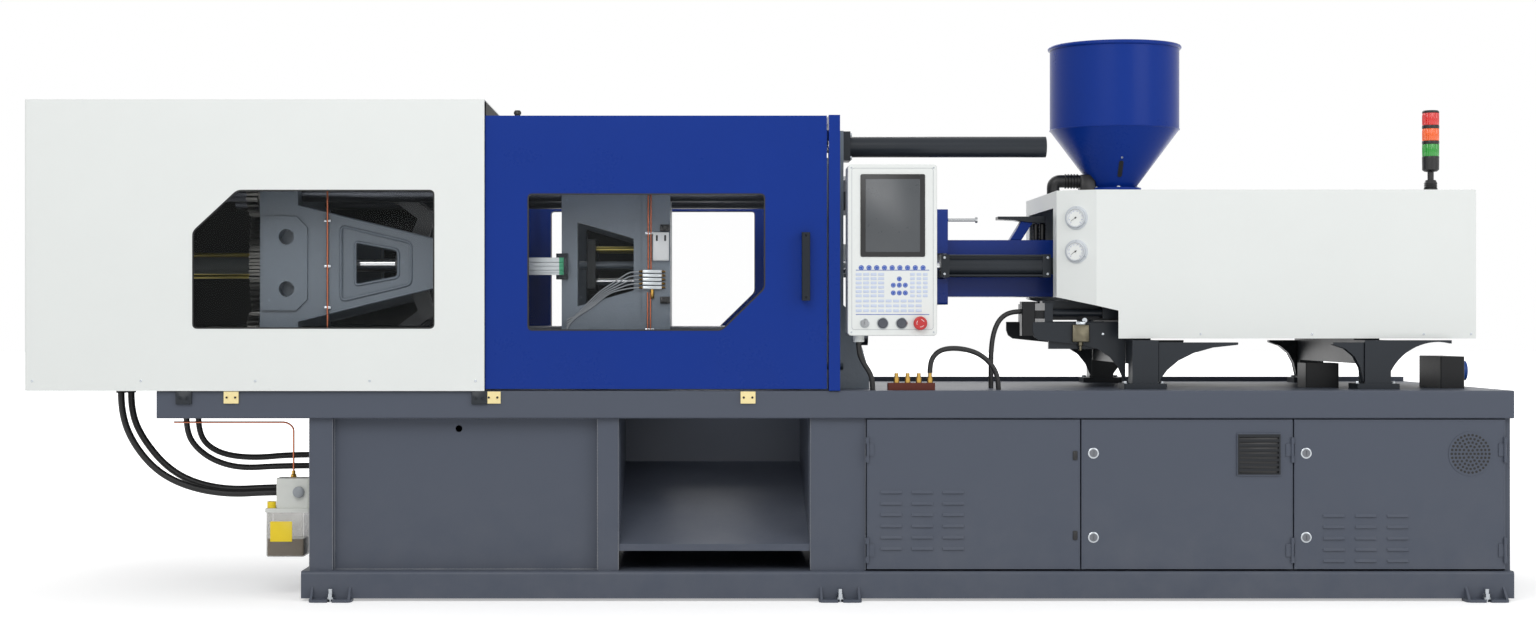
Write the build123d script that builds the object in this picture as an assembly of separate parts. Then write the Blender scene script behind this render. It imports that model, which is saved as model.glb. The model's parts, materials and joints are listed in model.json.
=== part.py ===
from build123d import *
import math
import os

# Injection moulding machine, rebuilt in millimetres.
# X runs along the machine from the clamp end (-X) to the injection end (+X), the operator
# stands at -Y, and Z is up from the floor. The shared axis of clamp and screw is at y = 0.

# Clearances shared by many pieces
running_gap = 0.05
face_gap = 0.3

# Bed
bed_height = 738
bed_half_width = 640
bed_right = 2607
bed_left = -2149
cabin_left = -1617
rail_left = -1643
rail_height = 105
rail_width = 100
rail_edge_round = 12
foot_gap = 10
beam_height = 98
beam_width = 80
beam_edge_round = 6
wall_sheet = 5
post_setback = 25
post_depth = 60
panel_setback = 60
cross_width = 80
belly_sheet = 6
deck_sheet = 12
slide_rise = 18
slide_depth = 40
slide_left = -2000
slide_in = 230
slide_out = 300
back_bar_start = 160
back_bar_end = 10
back_bar_in = 20
back_bar_width = 40
stile_width = 40
stile_depth = 20
stile_setback = 42
recess_hole_off = 25
recess_hole_drop = 38
recess_hole_radius = 12

# Posts of the front and rear walls: left side and width
post_one_width = 81
bay_post_left = -605
bay_post_width = 73
bay_right = 143
mid_post_width = 193
right_post_back = 24
right_post_width = 18

# Ground brackets and levelling bolts
foot_places = (-1536.5, 245, 2504)
ground_half = 75
ground_out = 45
ground_in = 20
ground_round = 20
foot_bolt_out = 20
foot_slot_radius = 9
gusset_at = 62
gusset_thick = 8
gusset_out = 38
gusset_rise = 42
foot_bolt_radius = 8
foot_bolt_length = 46
foot_washer_radius = 15
foot_washer_thick = 7
foot_nut_radius = 13
foot_nut_thick = 12

# Guide blocks on the beams
guide_block_places = (-1886, -969, -77)
guide_block_half = 26
guide_block_thick = 8
guide_block_drop = 3
guide_block_tall = 42
guide_screw_off = 15
guide_screw_radius = 5
guide_screw_head = 4

# Part chute
chute_front = 30
chute_sheet = 4
chute_slope_sheet = 5
chute_lip_rise = 69
chute_lip_tall = 24
chute_back = 120
chute_back_drop = 195
chute_cheek_drop = 25
chute_cheek_step = 60

# Clamp axis and platens
axis_rise = 452
fixed_face_x = 87
fixed_thick = 188
mould_height = 440
moving_thick = 100
platen_half_width = 370
platen_half_height = 385
platen_round = 30
tie_radius = 35
tie_offset = 262.5
tie_left_over = 210
tie_right_over = 25
tie_nut_radius = 60
tie_nut_length = 70
mould_hole_radius = 8
mould_hole_depth = 32
mould_holes = ((105, 70), (175, 140), (70, 210))
locating_radius = 62.5
locating_depth = 20
nozzle_hole_radius = 55
nozzle_recess_radius = 110
nozzle_recess_depth = 60
foot_set_back = 8
foot_tail = 92
platen_foot_in = 200
platen_rib_in = 190
platen_rib_thick = 30
platen_rib_foot = 85
platen_rib_toe = 20
platen_rib_knee = (30, 205)
platen_rib_top = 235
shoe_in = 220
shoe_out = 310
shoe_back = 120
tail_shoe_front = 40

# Toggle linkage, upper half, measured from the clamp axis
pivot_rise = 330
rear_link = 220
front_link = 480
front_pivot_back = 327
drive_pin_along = 110
drive_pin_drop = 70
cross_pin_rise = 173
cross_pin_ahead = 116
link_eye = 45
link_half = 38
cross_eye = 30
cross_link_waist = 6
web_half = 20
web_drop = 22
horn_extra = 4
pivot_pin_radius = 24
cross_pin_radius = 14
pivot_pin_over = 6
knee_pin_over = 3
front_pin_over = 2
cross_pin_cap = 4
pivot_reach = 220
tail_thick = 138
layer_gap = 6
front_layer_in = 44
front_layer_width = 44
rear_layer_width = 44
cross_layer_width = 28
ear_layer_width = 34
inner_ear_width = 30
ear_radius = 52
ear_button = 4

# Tail platen: side arms, bosses and rollers
arm_thick = 35
arm_reach = 488
arm_root_half = 210
arm_tip_half = 90
arm_recess_start = 155
arm_recess_half = 137
arm_recess_end = 78
arm_recess_tip_half = 76
arm_recess_depth = 8
arm_hole_start = 206
arm_hole_half = 80
arm_hole_end = 363
arm_hole_tip_half = 50
lug_length = 40
lug_half = 40
boss_back = 8
boss_front = 35
boss_half = 170
boss_out = 12
boss_root = 40
boss_chamfer = 40
boss_hole_along = 98
boss_hole_rises = (-93, 96)
boss_hole_radius = 28
boss_hole_depth = 60
roller_radius = 18
roller_play = 0.3
roller_collar = 8
roller_collar_thick = 5
roller_neck = 1

# Crosshead, its guides and its cylinder
guide_offset = 300
guide_radius = 20
guide_boss = 32
guide_root = 40
beam_back = 60
crosshead_half = 40
crosshead_half_height = 45
piston_rod_radius = 22
piston_length = 30
piston_clear = 10
clamp_bore_radius = 36
clamp_barrel_wall = 9
clamp_barrel_length = 420
clamp_cap = 30
clamp_cap_half = 52
clamp_tie_rod_radius = 7
clamp_tie_rod_in = 11
clamp_tie_rod_over = 12

# Mould height gearing
ring_teeth = 72
nut_teeth = 20
gear_thick = 40
gear_gap = 15
gear_backlash = 0.8
tooth_levels = ((-1.15, 0.62), (0, 0.5), (0.85, 0.30))
ring_bore = 245
nut_hub_radius = 62

# Moving platen: rear frame, pivot ribs and bar ear
rear_frame_reach = 293
frame_inset = 10
frame_thick = 40
frame_root_half = 320
frame_tip_half = 250
frame_hole_front = 32
frame_hole_front_heights = (-98, 90)
frame_hole_back = 58
frame_hole_back_heights = (-155, 150)
pivot_rib_low = 130
pivot_rib_high = 50
bridge_length = 60
bridge_inset = 20
bridge_half = 14
tie_boss_length = 90
tie_boss_radius = 62
bar_ear_thick = 50
bar_ear_half = 50
bar_ear_low = 330
bar_ear_over = 45

# Ejector
ejector_plate = 30
ejector_half_width = 150
ejector_half_height = 95
ejector_round = 12
ejector_stand_off = 180
ejector_rod_radius = 12
ejector_rod_side = 70
ejector_rod_rise = 60
ejector_rod_back = 5
ejector_centre_play = 8
ejector_guide_radius = 14
ejector_guide_offset = 115
ejector_guide_over = 60

# Mechanical safety bar
safety_rise = 425
safety_side = -320
safety_bar_radius = 22
safety_bar_over = 480
safety_bar_clear = 4
safety_head_length = 20
safety_head_extra = 10
safety_notches = 9
safety_notch_pitch = 45
safety_notch_width = 12
safety_notch_depth = 7
safety_notch_start = 60
safety_tube_radius = 38
safety_tube_wall = 4
safety_tube_length = 714
safety_flange = 106
safety_flange_thick = 25
safety_ear_thick = 50
safety_ear_low = 330
safety_ear_over = 55

# Clamp guard
guard_left = -2607
guard_right = -999
guard_rise = 1019
guard_out = 15
guard_sheet = 3
guard_lap = 1
guard_corner_round = 8
guard_end_drop = 56
guard_end_in = 60
guard_stiffener_half = 60
guard_stiffener_drop = 20
guard_stiffener_end = 200
guard_bracket_thick = 8
guard_bracket_length = 40
guard_bracket_tall = 60
sill_opening = 290
sill_solid = 180
sill_sheet = 3
clamp_hoses = ((-2345, -350), (-2317, -316))
gland_radius = 18
gland_length = 16
guard_window_left = -2018
guard_window_right = -1176
guard_window_drop = 233
guard_window_rise = 248
guard_window_cut = (155, 144.15)
window_round = 15
pane_thick = 4
pane_margin = 18

# Sliding doors
door_left = -997
door_right = 199
door_rise = 963
door_lift = 6
door_out = 4
door_depth = 28
door_sheet = 3
door_fold_round = 3
door_window_left = -847
door_window_right = -19
door_window_drop = 240
door_window_rise = 236
door_window_cut = (150, 147)
door_window_frame = 45
door_pane_hold = 13
door_pane_slack = 1
door_pane_back = 3
door_pane_play = 0.2
door_roller_radius = 22
door_roller_width = 14
door_roller_inset = 150
door_roller_back = 4
door_axle_radius = 8
door_axle_back = 3
handle_x = 124
handle_drop = 137
handle_rise = 101
handle_out = 46
handle_thick = 20
handle_bar = 30
handle_round = 8
handle_post = 22
handle_post_half = 12
handle_post_back = 13

# Door frame
frame_post_left = 206
frame_post_width = 39
frame_post_depth = 50
frame_post_back = 5
frame_post_over = 2
frame_tie_height = 22
guide_rail_height = 36
guide_rail_depth = 24
guide_rail_drop = 49
guide_rail_start = 40
guide_rail_clear = 8
guide_leg = 40
guide_leg_lift = 2

# Control panel
panel_left = 271.6
panel_width = 312.5
panel_rise = 192
panel_tall = 600
panel_out = 15
panel_depth = 120
panel_round = 14
panel_edge_round = 4
panel_wall = 3
panel_face_thick = 30
panel_arm_half = 30
panel_arm_end = 300
panel_arm_width = 60
panel_gland_length = 22
panel_gland_radius = 20
panel_gland_in = 42
panel_gland_back = 60
bezel_left = 44
bezel_drop = 35
bezel_width = 226
bezel_tall = 289
bezel_thick = 3
bezel_round = 6
key_pad_radius = 9
key_pad_thick = 2
menu_keys = 9
menu_key_start = 47
menu_key_pitch = 27
menu_key_drop = 362
arrow_keys = ((180, 401), (159, 423), (180, 423), (201, 423), (159, 450), (180, 450), (201, 450))
controls_drop = 556
control_depth = 18
key_at = 59
button_one_at = 122
button_two_at = 188
stop_at = 252
button_radius = 17
button_out = 9
stop_radius = 24
stop_out = 25
stop_head = 14
stop_round = 5
stop_stem = 13
key_radius = 13
key_out = 8
key_blade_thick = 3
key_blade_out = 28
key_blade_low = 6
key_blade_high = 8

# Injection base
base_left = 1008
base_right = 2500
base_drop = 205
base_beam_tall = 70
base_beam_in = 225
base_beam_width = 60
base_end_thick = 30
base_end_half = 340
base_end_down = 10
base_end_below = 8
slide_rod_side = 312
slide_rod_rise = 27
slide_rod_radius = 14
foot_width = 93
foot_depth = 80
foot_reach = 480
foot_front_x = 1300
foot_rear_x = 2131
foot_plate = 20
foot_plate_spread = 30
foot_plate_out = 10
foot_plate_round = 8
foot_bar = 85
foot_clear = 6
flare_reach = 217
flare_tip = 12
flare_thick = 30
flare_in = 30
flare_foot = 62
flare_waist = (62, 40)
stay_left = 1022
stay_right = 1223
stay_thick = 14
stay_low = 105
stay_high = 5
stay_post_width = 40
stay_post_low = 35

# Carriage with barrel holder, ram rods and seat cylinders
carriage_left = 1200
carriage_right = 2440
carriage_plate = 25
carriage_half = 330
carriage_shoe_length = 120
carriage_shoe_half = 20
carriage_shoe_low = 22
carriage_shoe_start = 20
carriage_shoe_end = 320
cover_arm_places = (1500, 2300)
cover_arm_width = 40
holder_half = 180
holder_rise = 140
holder_length = 245
holder_round = 20
throat_radius = 70
throat_bore = 40
ram_left = 1760
ram_thick = 80
ram_half = 175
ram_low = 90
ram_high = 110
ram_round = 18
ram_rod_offset = 130
ram_rod_radius = 25
ram_rod_over = 30
ram_stroke = 200
motor_radius = 88
motor_length = 190
motor_port_start = 20
motor_port_length = 70
motor_port_half = 60
motor_port_rise = 120
seat_cylinder_side = 225
seat_cylinder_drop = 6
seat_cylinder_left = 640
seat_cylinder_length = 402
seat_cylinder_radius = 40
seat_bore = 32
seat_bore_start = 10
seat_bore_end = 10
seat_rod_radius = 15
seat_rod_flange = 28
seat_rod_flange_thick = 25
seat_piston_back = 60
seat_piston_length = 15
seat_cap = 30
seat_cap_half = 42
seat_tie_off = 36
seat_tie_radius = 5
seat_arm_half = 30
seat_arm_width = 40
seat_arm_in = 170

# Barrel and screw
barrel_radius = 55
barrel_left = 300
barrel_right = 1260
barrel_head_length = 40
barrel_head_step = 10
screw_bore = 22.5
screw_gap = 0.1
screw_tip_length = 40
screw_tip_radius = 4
screw_tip_back = 30
bore_start = 20
nozzle_back = 1.5
nozzle_radius = 32
nozzle_tip_radius = 12
nozzle_taper = 40
nozzle_hole = 4
feed_hole_step = 10

# Barrel cover and purge guard
guard_box_left = 632
guard_box_width = 40
guard_box_half = 200
guard_box_down = 30
guard_box_rise = 205
guard_box_round = 10
cover_box_right = 1083
cover_box_half = 130
cover_box_drop = 118
cover_box_rise = 93
cover_box_wall = 3
barrel_clear = 12
seat_cap_clear = 6
purge_pin_side = -170
purge_pin_rise = 166
purge_pin_radius = 6
purge_pin_length = 110
purge_pin_head = 11
purge_pin_head_thick = 8

# Injection cover
cover_left = 1045
cover_fold = 1177
cover_fold_in = 70
cover_right = 2538
cover_front = 450
cover_rise = 263
cover_drop = 271
cover_step_drop = 120
cover_step_low_drop = 171
cover_step_x = 1256
cover_sheet = 3
cover_hole = 92
cover_end_gap_half = 300
cover_end_gap_low = 40
cover_end_gap_high = 60
gauge_radius = 34
gauge_depth = 14
gauge_rim = 4
gauge_sink = 3
gauge_rises = (163, 42)

# Hopper, from its foot on the throat upwards
hopper_along = 123
hopper_lift = 30
hopper_neck = 79
hopper_cone_tall = 219
hopper_wall_tall = 308
hopper_radius = 241
hopper_wall = 3
hopper_rim = 8
hopper_flange_radius = 100
hopper_flange_thick = 10
hopper_seam_half = 6
hopper_seam_out = 2
hopper_seam_low = 5
hopper_seam_high = 12

# Signal light
light_back = 155
light_in = 25
light_radius = 30
light_module = 44
light_ring = 12
light_ring_step = 2
light_base = 36
light_base_radius = 24
light_stem = 28
light_stem_radius = 11
light_cap = 10
light_colours = 3

# Cabinet doors
cabinet_left = 340
cabinet_doors = (748, 742, 741)
cabinet_gap = 4
cabinet_lift = 7
cabinet_setback = 8
cabinet_thick = 20
cabinet_sheet = 3
cabinet_edge_round = 3
hinge_radius = 5
hinge_pin = 2.5
hinge_out = 5.3
hinge_in = 3
hinge_half = 22
hinge_knuckle = 21.7
hinge_low = 66
hinge_drop = 106
hinge_leaf_gap = 0.8
hinge_leaf_reach = (4.5, 3.2, 4.5)
hinge_leaf_front = 3
hinge_leaf_hold = 1
hinge_plate = 4
lock_radius = 14
lock_inset = 42
lock_low = 111
lock_drop = 118
lock_sink = 4
lock_out = 5
lock_length = 17
lock_slot_half = 2
lock_slot_depth = 3
lock_slot_reach = 9
tongue_thick = 4
tongue_half = 9
tongue_tail = 12
tongue_back = 8
louvre_length = 74
louvre_height = 11
louvre_out = 6
louvre_pitch = 39.5
first_louvre_columns = 3
first_louvre_rows = 6
first_louvre_in = 48
first_louvre_step = 109
first_louvre_low = 68
third_louvre_columns = 3
third_louvre_rows = 5
third_louvre_in = 102
third_louvre_step = 112
third_louvre_low = 25
grille_in = 545
grille_width = 154
grille_drop = 48
grille_tall = 148
grille_out = 6
grille_edge = 8
grille_slots = 8
grille_slot_pitch = 17
grille_slot_tall = 8
grille_slot_depth = 4
vent_radius = 77
vent_in = 618
vent_drop = 120
vent_out = 2

# Services on the bed
manifold_left = 417
manifold_width = 166
manifold_setback = 40
manifold_depth = 40
manifold_tall = 26
manifold_round = 4
nipple_count = 4
nipple_start = 31
nipple_pitch = 39.5
nipple_base_radius = 10
nipple_base_tall = 18
nipple_radius = 7
nipple_tall = 16
box_round = 5
power_box_left = 2428
power_box_width = 86
power_box_front = -400
power_box_depth = 250
power_box_tall = 116
valve_box_left = 1968
valve_box_width = 121
valve_box_front = -300
valve_box_depth = 120
valve_box_tall = 90
limit_box_width = 48
limit_box_front = -352
limit_box_depth = 62
limit_box_down = 57
limit_box_tall = 124
limit_arm_reach = 36
limit_arm_front = -330
limit_arm_depth = 30
limit_arm_low = 5
limit_arm_tall = 30
socket_side = -275
socket_rise = 62
socket_neck_radius = 30
socket_neck = 14
socket_radius = 36
socket_length = 28
socket_bore = 28
socket_bore_depth = 16

# Lubrication pump on the bed's left end
pump_side = -450
pump_low = 300
pump_plate_thick = 20
pump_plate_front = 55
pump_plate_back = 75
pump_plate_tall = 140
pump_head_reach = 140
pump_head_front = 45
pump_head_back = 55
pump_head_tall = 108
pump_head_round = 10
pump_lid_reach = 176
pump_lid_set_off = 1
pump_lid_front = 60
pump_lid_back = 70
pump_lid_thick = 14
pump_head_sink = 2
pump_cap_in = 18
pump_cap_side = -30
pump_cap_radius = 15
pump_cap_tall = 24
bowl_edge = 2
bowl_gap = 36
bowl_tall = 160
bowl_round = 12
bowl_foot_round = 8
bowl_wall = 3

# Hoses
hose_radius = 12.5
conduit_radius = 11
cable_radius = 9
hose_lift = 14

# Depths that follow from the bed's width
stile_front = bed_half_width - stile_setback
hinge_leaf_back = hinge_leaf_hold - stile_front
guard_front = bed_half_width + guard_out
door_front = bed_half_width + door_out
panel_face = bed_half_width + panel_out
cabinet_front = bed_half_width - cabinet_setback
manifold_front = bed_half_width - manifold_setback

# Heights that follow from the bed and the clamp axis
bed_top = bed_height
beam_low = bed_height - beam_height
slide_top = bed_height + slide_rise
axis_z = bed_height + axis_rise
platen_low = axis_z - platen_half_height
guard_top = bed_height + guard_rise
guard_window_low = axis_z - guard_window_drop
guard_window_high = axis_z + guard_window_rise
door_top = bed_height + door_rise
door_window_low = axis_z - door_window_drop
door_window_high = axis_z + door_window_rise
handle_low = axis_z - handle_drop
handle_high = axis_z + handle_rise
guide_rail_top = door_top - guide_rail_drop
panel_low = bed_height + panel_rise
base_beam_low = axis_z - base_drop
base_beam_high = base_beam_low + base_beam_tall
slide_rod_z = base_beam_low + slide_rod_rise
holder_high = axis_z + holder_rise
seat_cylinder_z = axis_z - seat_cylinder_drop
cover_box_low = axis_z - cover_box_drop
cover_box_high = axis_z + cover_box_rise
guard_box_low = cover_box_low - guard_box_down
guard_box_high = axis_z + guard_box_rise
purge_pin_z = axis_z + purge_pin_rise
cover_top = axis_z + cover_rise
cover_low = axis_z - cover_drop
cover_step = axis_z - cover_step_drop
cover_step_low = axis_z - cover_step_low_drop
hopper_foot = cover_top + hopper_lift
hopper_shoulder = hopper_foot + hopper_cone_tall
hopper_top = hopper_shoulder + hopper_wall_tall
foot_bar_top = cover_low - foot_clear
cabinet_low = rail_height + cabinet_lift
cabinet_high = beam_low - cabinet_gap

# Places along the machine that follow from the clamp and the carriage
fixed_back = fixed_face_x + fixed_thick
nozzle_tip_x = fixed_face_x + locating_depth + nozzle_back
moving_face = fixed_face_x - mould_height
moving_back = moving_face - moving_thick
frame_left = moving_back - rear_frame_reach
front_pivot_x = moving_back - front_pivot_back
rear_pivot_x = front_pivot_x - front_link - rear_link
tail_front = rear_pivot_x - pivot_reach
tail_back = tail_front - tail_thick
arm_tip = tail_front + arm_reach
knee_x = rear_pivot_x + rear_link
drive_x = rear_pivot_x + drive_pin_along
cross_x = drive_x + cross_pin_ahead
crosshead_x = cross_x - beam_back
hopper_x = carriage_left + hopper_along
light_x = cover_right - light_back
light_y = light_in - cover_front
gear_module = 2 * math.hypot(tie_offset, tie_offset) / (ring_teeth + nut_teeth)
gear_right = tail_back - gear_gap
gear_left = gear_right - gear_thick

# Layers of the toggle across the machine, from the middle outwards
front_in = front_layer_in
front_out = front_in + front_layer_width
rear_in = front_out + layer_gap
rear_out = rear_in + rear_layer_width
cross_in = rear_out + layer_gap
cross_out = cross_in + cross_layer_width
ear_in = cross_out + layer_gap
ear_out = ear_in + ear_layer_width

# Helpers for plain shapes


def block(x0, x1, y0, y1, z0, z1):
    """A box between three pairs of coordinates."""
    centre = Pos((x0 + x1) / 2, (y0 + y1) / 2, (z0 + z1) / 2)
    return centre * Box(abs(x1 - x0), abs(y1 - y0), abs(z1 - z0))


def rod_x(x0, x1, y, z, radius):
    """A round bar along X."""
    return Pos((x0 + x1) / 2, y, z) * Rot(0, 90, 0) * Cylinder(radius, abs(x1 - x0))


def rod_y(y0, y1, x, z, radius):
    """A round bar along Y."""
    return Pos(x, (y0 + y1) / 2, z) * Rot(90, 0, 0) * Cylinder(radius, abs(y1 - y0))


def rod_z(z0, z1, x, y, radius):
    """A round bar along Z."""
    return Pos(x, y, (z0 + z1) / 2) * Cylinder(radius, abs(z1 - z0))


def plate_xz(points, y0, y1):
    """A flat plate whose outline is given in X and Z, between two Y values."""
    face = make_face(Polyline(*[(x, z) for x, z in points], close=True))
    turned = Plane(origin=(0, max(y0, y1), 0), x_dir=(1, 0, 0), z_dir=(0, -1, 0))
    return extrude(turned * face, amount=abs(y1 - y0))


def plate_xy(points, z0, z1):
    """A flat plate whose outline is given in X and Y, between two Z values."""
    face = make_face(Polyline(*points, close=True))
    return extrude(Pos(0, 0, min(z0, z1)) * face, amount=abs(z1 - z0))


def plate_yz(points, x0, x1):
    """A flat plate whose outline is given in Y and Z, between two X values."""
    face = make_face(Polyline(*points, close=True))
    turned = Plane(origin=(min(x0, x1), 0, 0), x_dir=(0, 1, 0), z_dir=(1, 0, 0))
    return extrude(turned * face, amount=abs(x1 - x0))


def link_bar(ends, half, y0, y1):
    """The straight part of a link between two points in the XZ plane."""
    (xa, za), (xb, zb) = ends
    length = math.hypot(xb - xa, zb - za)
    angle = math.degrees(math.atan2(zb - za, xb - xa))
    bar = Box(length, y1 - y0, 2 * half)
    return Pos((xa + xb) / 2, (y0 + y1) / 2, (za + zb) / 2) * Rot(0, -angle, 0) * bar


def both_sides(shape):
    """The shape together with its mirror image across the XZ plane."""
    return [shape, shape.mirror(Plane.XZ)]


def all_of(*pieces):
    """One shape out of solids and lists of solids that touch or overlap."""
    flat = []
    for piece in pieces:
        flat.extend(piece if isinstance(piece, (list, tuple)) else [piece])
    return flat[0].fuse(*flat[1:]) if len(flat) > 1 else flat[0]


def group(*pieces):
    """Several separate solids kept side by side in one node."""
    flat = []
    for piece in pieces:
        items = piece if isinstance(piece, (list, tuple)) else [piece]
        for item in items:
            flat.extend(item.solids())
    return Compound(children=flat)


def fitted(pieces):
    """The pieces side by side, each one cut to fit against those before it."""
    done = []
    for piece in pieces:
        box = piece.bounding_box()
        for other in done:
            near = other.bounding_box()
            apart = [near.min.X - box.max.X, box.min.X - near.max.X, near.min.Y - box.max.Y]
            apart += [box.min.Y - near.max.Y, near.min.Z - box.max.Z, box.min.Z - near.max.Z]
            if max(apart) < 0:
                piece = piece - other
        done += piece.solids()
    return done


def tie_places():
    """Y and Z of the four tie bars."""
    for sy in (-1, 1):
        for sz in (-1, 1):
            yield sy * tie_offset, axis_z + sz * tie_offset


nodes = {}

# Bed


def bed_walls():
    """Front and rear walls: posts, recessed panels, bulkheads and the closed rear of the cabinets."""
    y_out = bed_half_width - post_setback
    y_in = y_out - post_depth
    posts = (
        (cabin_left, cabin_left + post_one_width),
        (bay_post_left, bay_post_left + bay_post_width),
        (bay_right, bay_right + mid_post_width),
        (bed_right - right_post_back, bed_right - right_post_back + right_post_width),
    )
    walls = []
    for x0, x1 in posts:
        walls += both_sides(block(x0, x1, -y_out, -y_in, rail_height, beam_low))
    recess_y = -bed_half_width + panel_setback
    recess_x = cabin_left + post_one_width
    recess = block(recess_x, bay_post_left, recess_y, recess_y + wall_sheet, rail_height, beam_low)
    hole_x = (recess_x + bay_post_left) / 2 - recess_hole_off
    hole_z = beam_low - recess_hole_drop
    recess -= rod_y(recess_y, recess_y + wall_sheet, hole_x, hole_z, recess_hole_radius)
    walls += both_sides(recess)
    cabinet_x = bay_right + mid_post_width
    rear_y = y_in + wall_sheet
    rear_x = bed_right - right_post_back
    walls.append(block(cabinet_x, rear_x, rear_y, rear_y + wall_sheet, rail_height, beam_low))
    for x in (cabin_left, bay_post_left, cabinet_x - wall_sheet, rear_x):
        walls.append(block(x, x + wall_sheet, -y_in, y_in, rail_height, beam_low))
    return walls


def foot_bracket(x):
    """Ground plate with two gussets, slotted for a levelling bolt."""
    y_edge = bed_half_width
    bolt_y = -y_edge - foot_bolt_out
    plate = block(x - ground_half, x + ground_half, -y_edge - ground_out, -y_edge + ground_in, 0, foot_gap)
    plate = fillet(plate.edges().filter_by(Axis.Z).sort_by(Axis.Y)[:2], ground_round)
    plate -= rod_z(0, foot_gap, x, bolt_y, foot_slot_radius)
    plate -= block(x - foot_slot_radius, x + foot_slot_radius, -y_edge - ground_out, bolt_y, 0, foot_gap)
    outline = (
        (-y_edge - gusset_out, foot_gap),
        (-y_edge + 1, foot_gap),
        (-y_edge + 1, foot_gap + gusset_rise),
    )
    gussets = []
    for gx in (x - gusset_at - gusset_thick, x + gusset_at):
        gussets.append(plate_yz(outline, gx, gx + gusset_thick))
    return all_of(plate, gussets)


def bed_frame():
    """The welded bed: rails, beams, cross members, slideways, sheets, posts, feet and hinges."""
    half = bed_half_width
    rail = block(rail_left, bed_right, -half, -half + rail_width, foot_gap, rail_height)
    outer_edge = rail.edges().filter_by(Axis.X).group_by(Axis.Z)[-1].sort_by(Axis.Y)[0]
    pieces = both_sides(fillet(outer_edge, rail_edge_round))
    beam = block(bed_left, bed_right, -half, -half + beam_width, beam_low, bed_top)
    pieces += both_sides(fillet(beam.edges().filter_by(Axis.X).sort_by(Axis.Y)[:2], beam_edge_round))
    inner = half - beam_width
    rail_in = half - rail_width
    bay_cross = bay_post_left - cross_width / 4
    door_crosses = [cabinet_edges(n)[1] for n in (0, 1)]
    for x in (bed_left, cabin_left, bay_cross, bay_right, *door_crosses, bed_right - cross_width):
        pieces.append(block(x, x + cross_width, -inner, inner, beam_low, bed_top))
    for x in (rail_left, bay_post_left, bay_right, bed_right - cross_width):
        pieces.append(block(x, x + cross_width, -rail_in, rail_in, foot_gap, rail_height))
    slide_low = bed_top - slide_depth
    pieces += both_sides(block(slide_left, fixed_face_x, -slide_out, -slide_in, slide_low, slide_top))
    pieces.append(block(rail_left, bed_right, -rail_in, rail_in, rail_height - belly_sheet, rail_height))
    for x0, x1 in ((cabin_left, bay_post_left), (bay_right, bed_right)):
        pieces.append(block(x0, x1, -inner, inner, bed_top - deck_sheet, bed_top))
    bar_y = inner + back_bar_in
    bar_x = bay_right + back_bar_start
    bar_end = bed_right - back_bar_end
    pieces.append(block(bar_x, bar_end, bar_y, bar_y + back_bar_width, bed_top, slide_top))
    pieces += bed_walls()
    for x in foot_places:
        pieces += both_sides(foot_bracket(x))
    stile_back = stile_depth - stile_front
    for x in door_crosses:
        left = x + (cabinet_gap - stile_width) / 2
        pieces.append(block(left, left + stile_width, -stile_front, stile_back, rail_height, beam_low))
    for n in range(len(cabinet_doors)):
        pieces += bed_hinges(n)
    return group(fitted(pieces))


def chute_tray():
    """The part chute in the open bay: sloped floor, side cheeks, a front lip and a back."""
    x0 = bay_post_left + bay_post_width
    x1 = bay_right
    t = chute_sheet
    front = -bed_half_width + chute_front
    low = rail_height + chute_lip_rise
    lip_top = low + chute_lip_tall
    back_low = beam_low - chute_back_drop
    lip = block(x0, x1, front, front + t, low, lip_top)
    slope = plate_yz(
        (
            (front, lip_top),
            (front, lip_top - chute_slope_sheet),
            (chute_back, back_low - chute_slope_sheet),
            (chute_back, back_low),
        ),
        x0,
        x1,
    )
    cheek = (
        (front, low),
        (chute_back, back_low - chute_cheek_drop),
        (chute_back, beam_low),
        (front + chute_cheek_step, beam_low),
        (front, lip_top),
    )
    sides = [plate_yz(cheek, x0, x0 + t), plate_yz(cheek, x1 - t, x1)]
    back = block(x0, x1, chute_back - t, chute_back, back_low - chute_slope_sheet, beam_low)
    return all_of(lip, slope, sides, back)


def levelling_feet():
    """Zinc levelling bolts with washers and nuts, one in each ground bracket."""
    bolts = []
    y = -bed_half_width - foot_bolt_out
    washer_top = foot_gap + foot_washer_thick
    for x in foot_places:
        bolt = rod_z(0, foot_bolt_length, x, y, foot_bolt_radius)
        nut = Pos(x, y, washer_top) * extrude(RegularPolygon(foot_nut_radius, 6), amount=foot_nut_thick)
        washer = rod_z(foot_gap, washer_top, x, y, foot_washer_radius)
        bolts += both_sides(all_of(bolt, nut, washer))
    return group(bolts)


def guide_blocks():
    """Yellow-passivated guide blocks screwed to the bed's front and rear beams."""
    blocks = []
    y = -bed_half_width
    high = bed_top - guide_block_drop
    low = high - guide_block_tall
    front = y - guide_block_thick
    for x in guide_block_places:
        body = block(x - guide_block_half, x + guide_block_half, front, y, low, high)
        for dx in (-guide_screw_off, guide_screw_off):
            head = front - guide_screw_head
            body += rod_y(head, front, x + dx, (low + high) / 2, guide_screw_radius)
        blocks += both_sides(body)
    return group(blocks)


# Tie bars, fixed platen and the safety tube


def tie_bars():
    """Four tie bars with their nuts behind the fixed platen."""
    bars = []
    left = tail_back - tie_left_over
    right = fixed_back + tie_nut_length
    for y, z in tie_places():
        bar = rod_x(left, right + tie_right_over, y, z, tie_radius)
        section = RegularPolygon(tie_nut_radius, 8)
        nut = Pos(fixed_back, y, z) * Rot(0, 90, 0) * extrude(section, amount=tie_nut_length)
        bars.append(bar + nut)
    return group(bars)


def platen_blank(x0, x1):
    """A platen plate with its outer corners rounded."""
    side = platen_half_width
    plate = block(x0, x1, -side, side, platen_low, axis_z + platen_half_height)
    return fillet(plate.edges().filter_by(Axis.X), platen_round)


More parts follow.
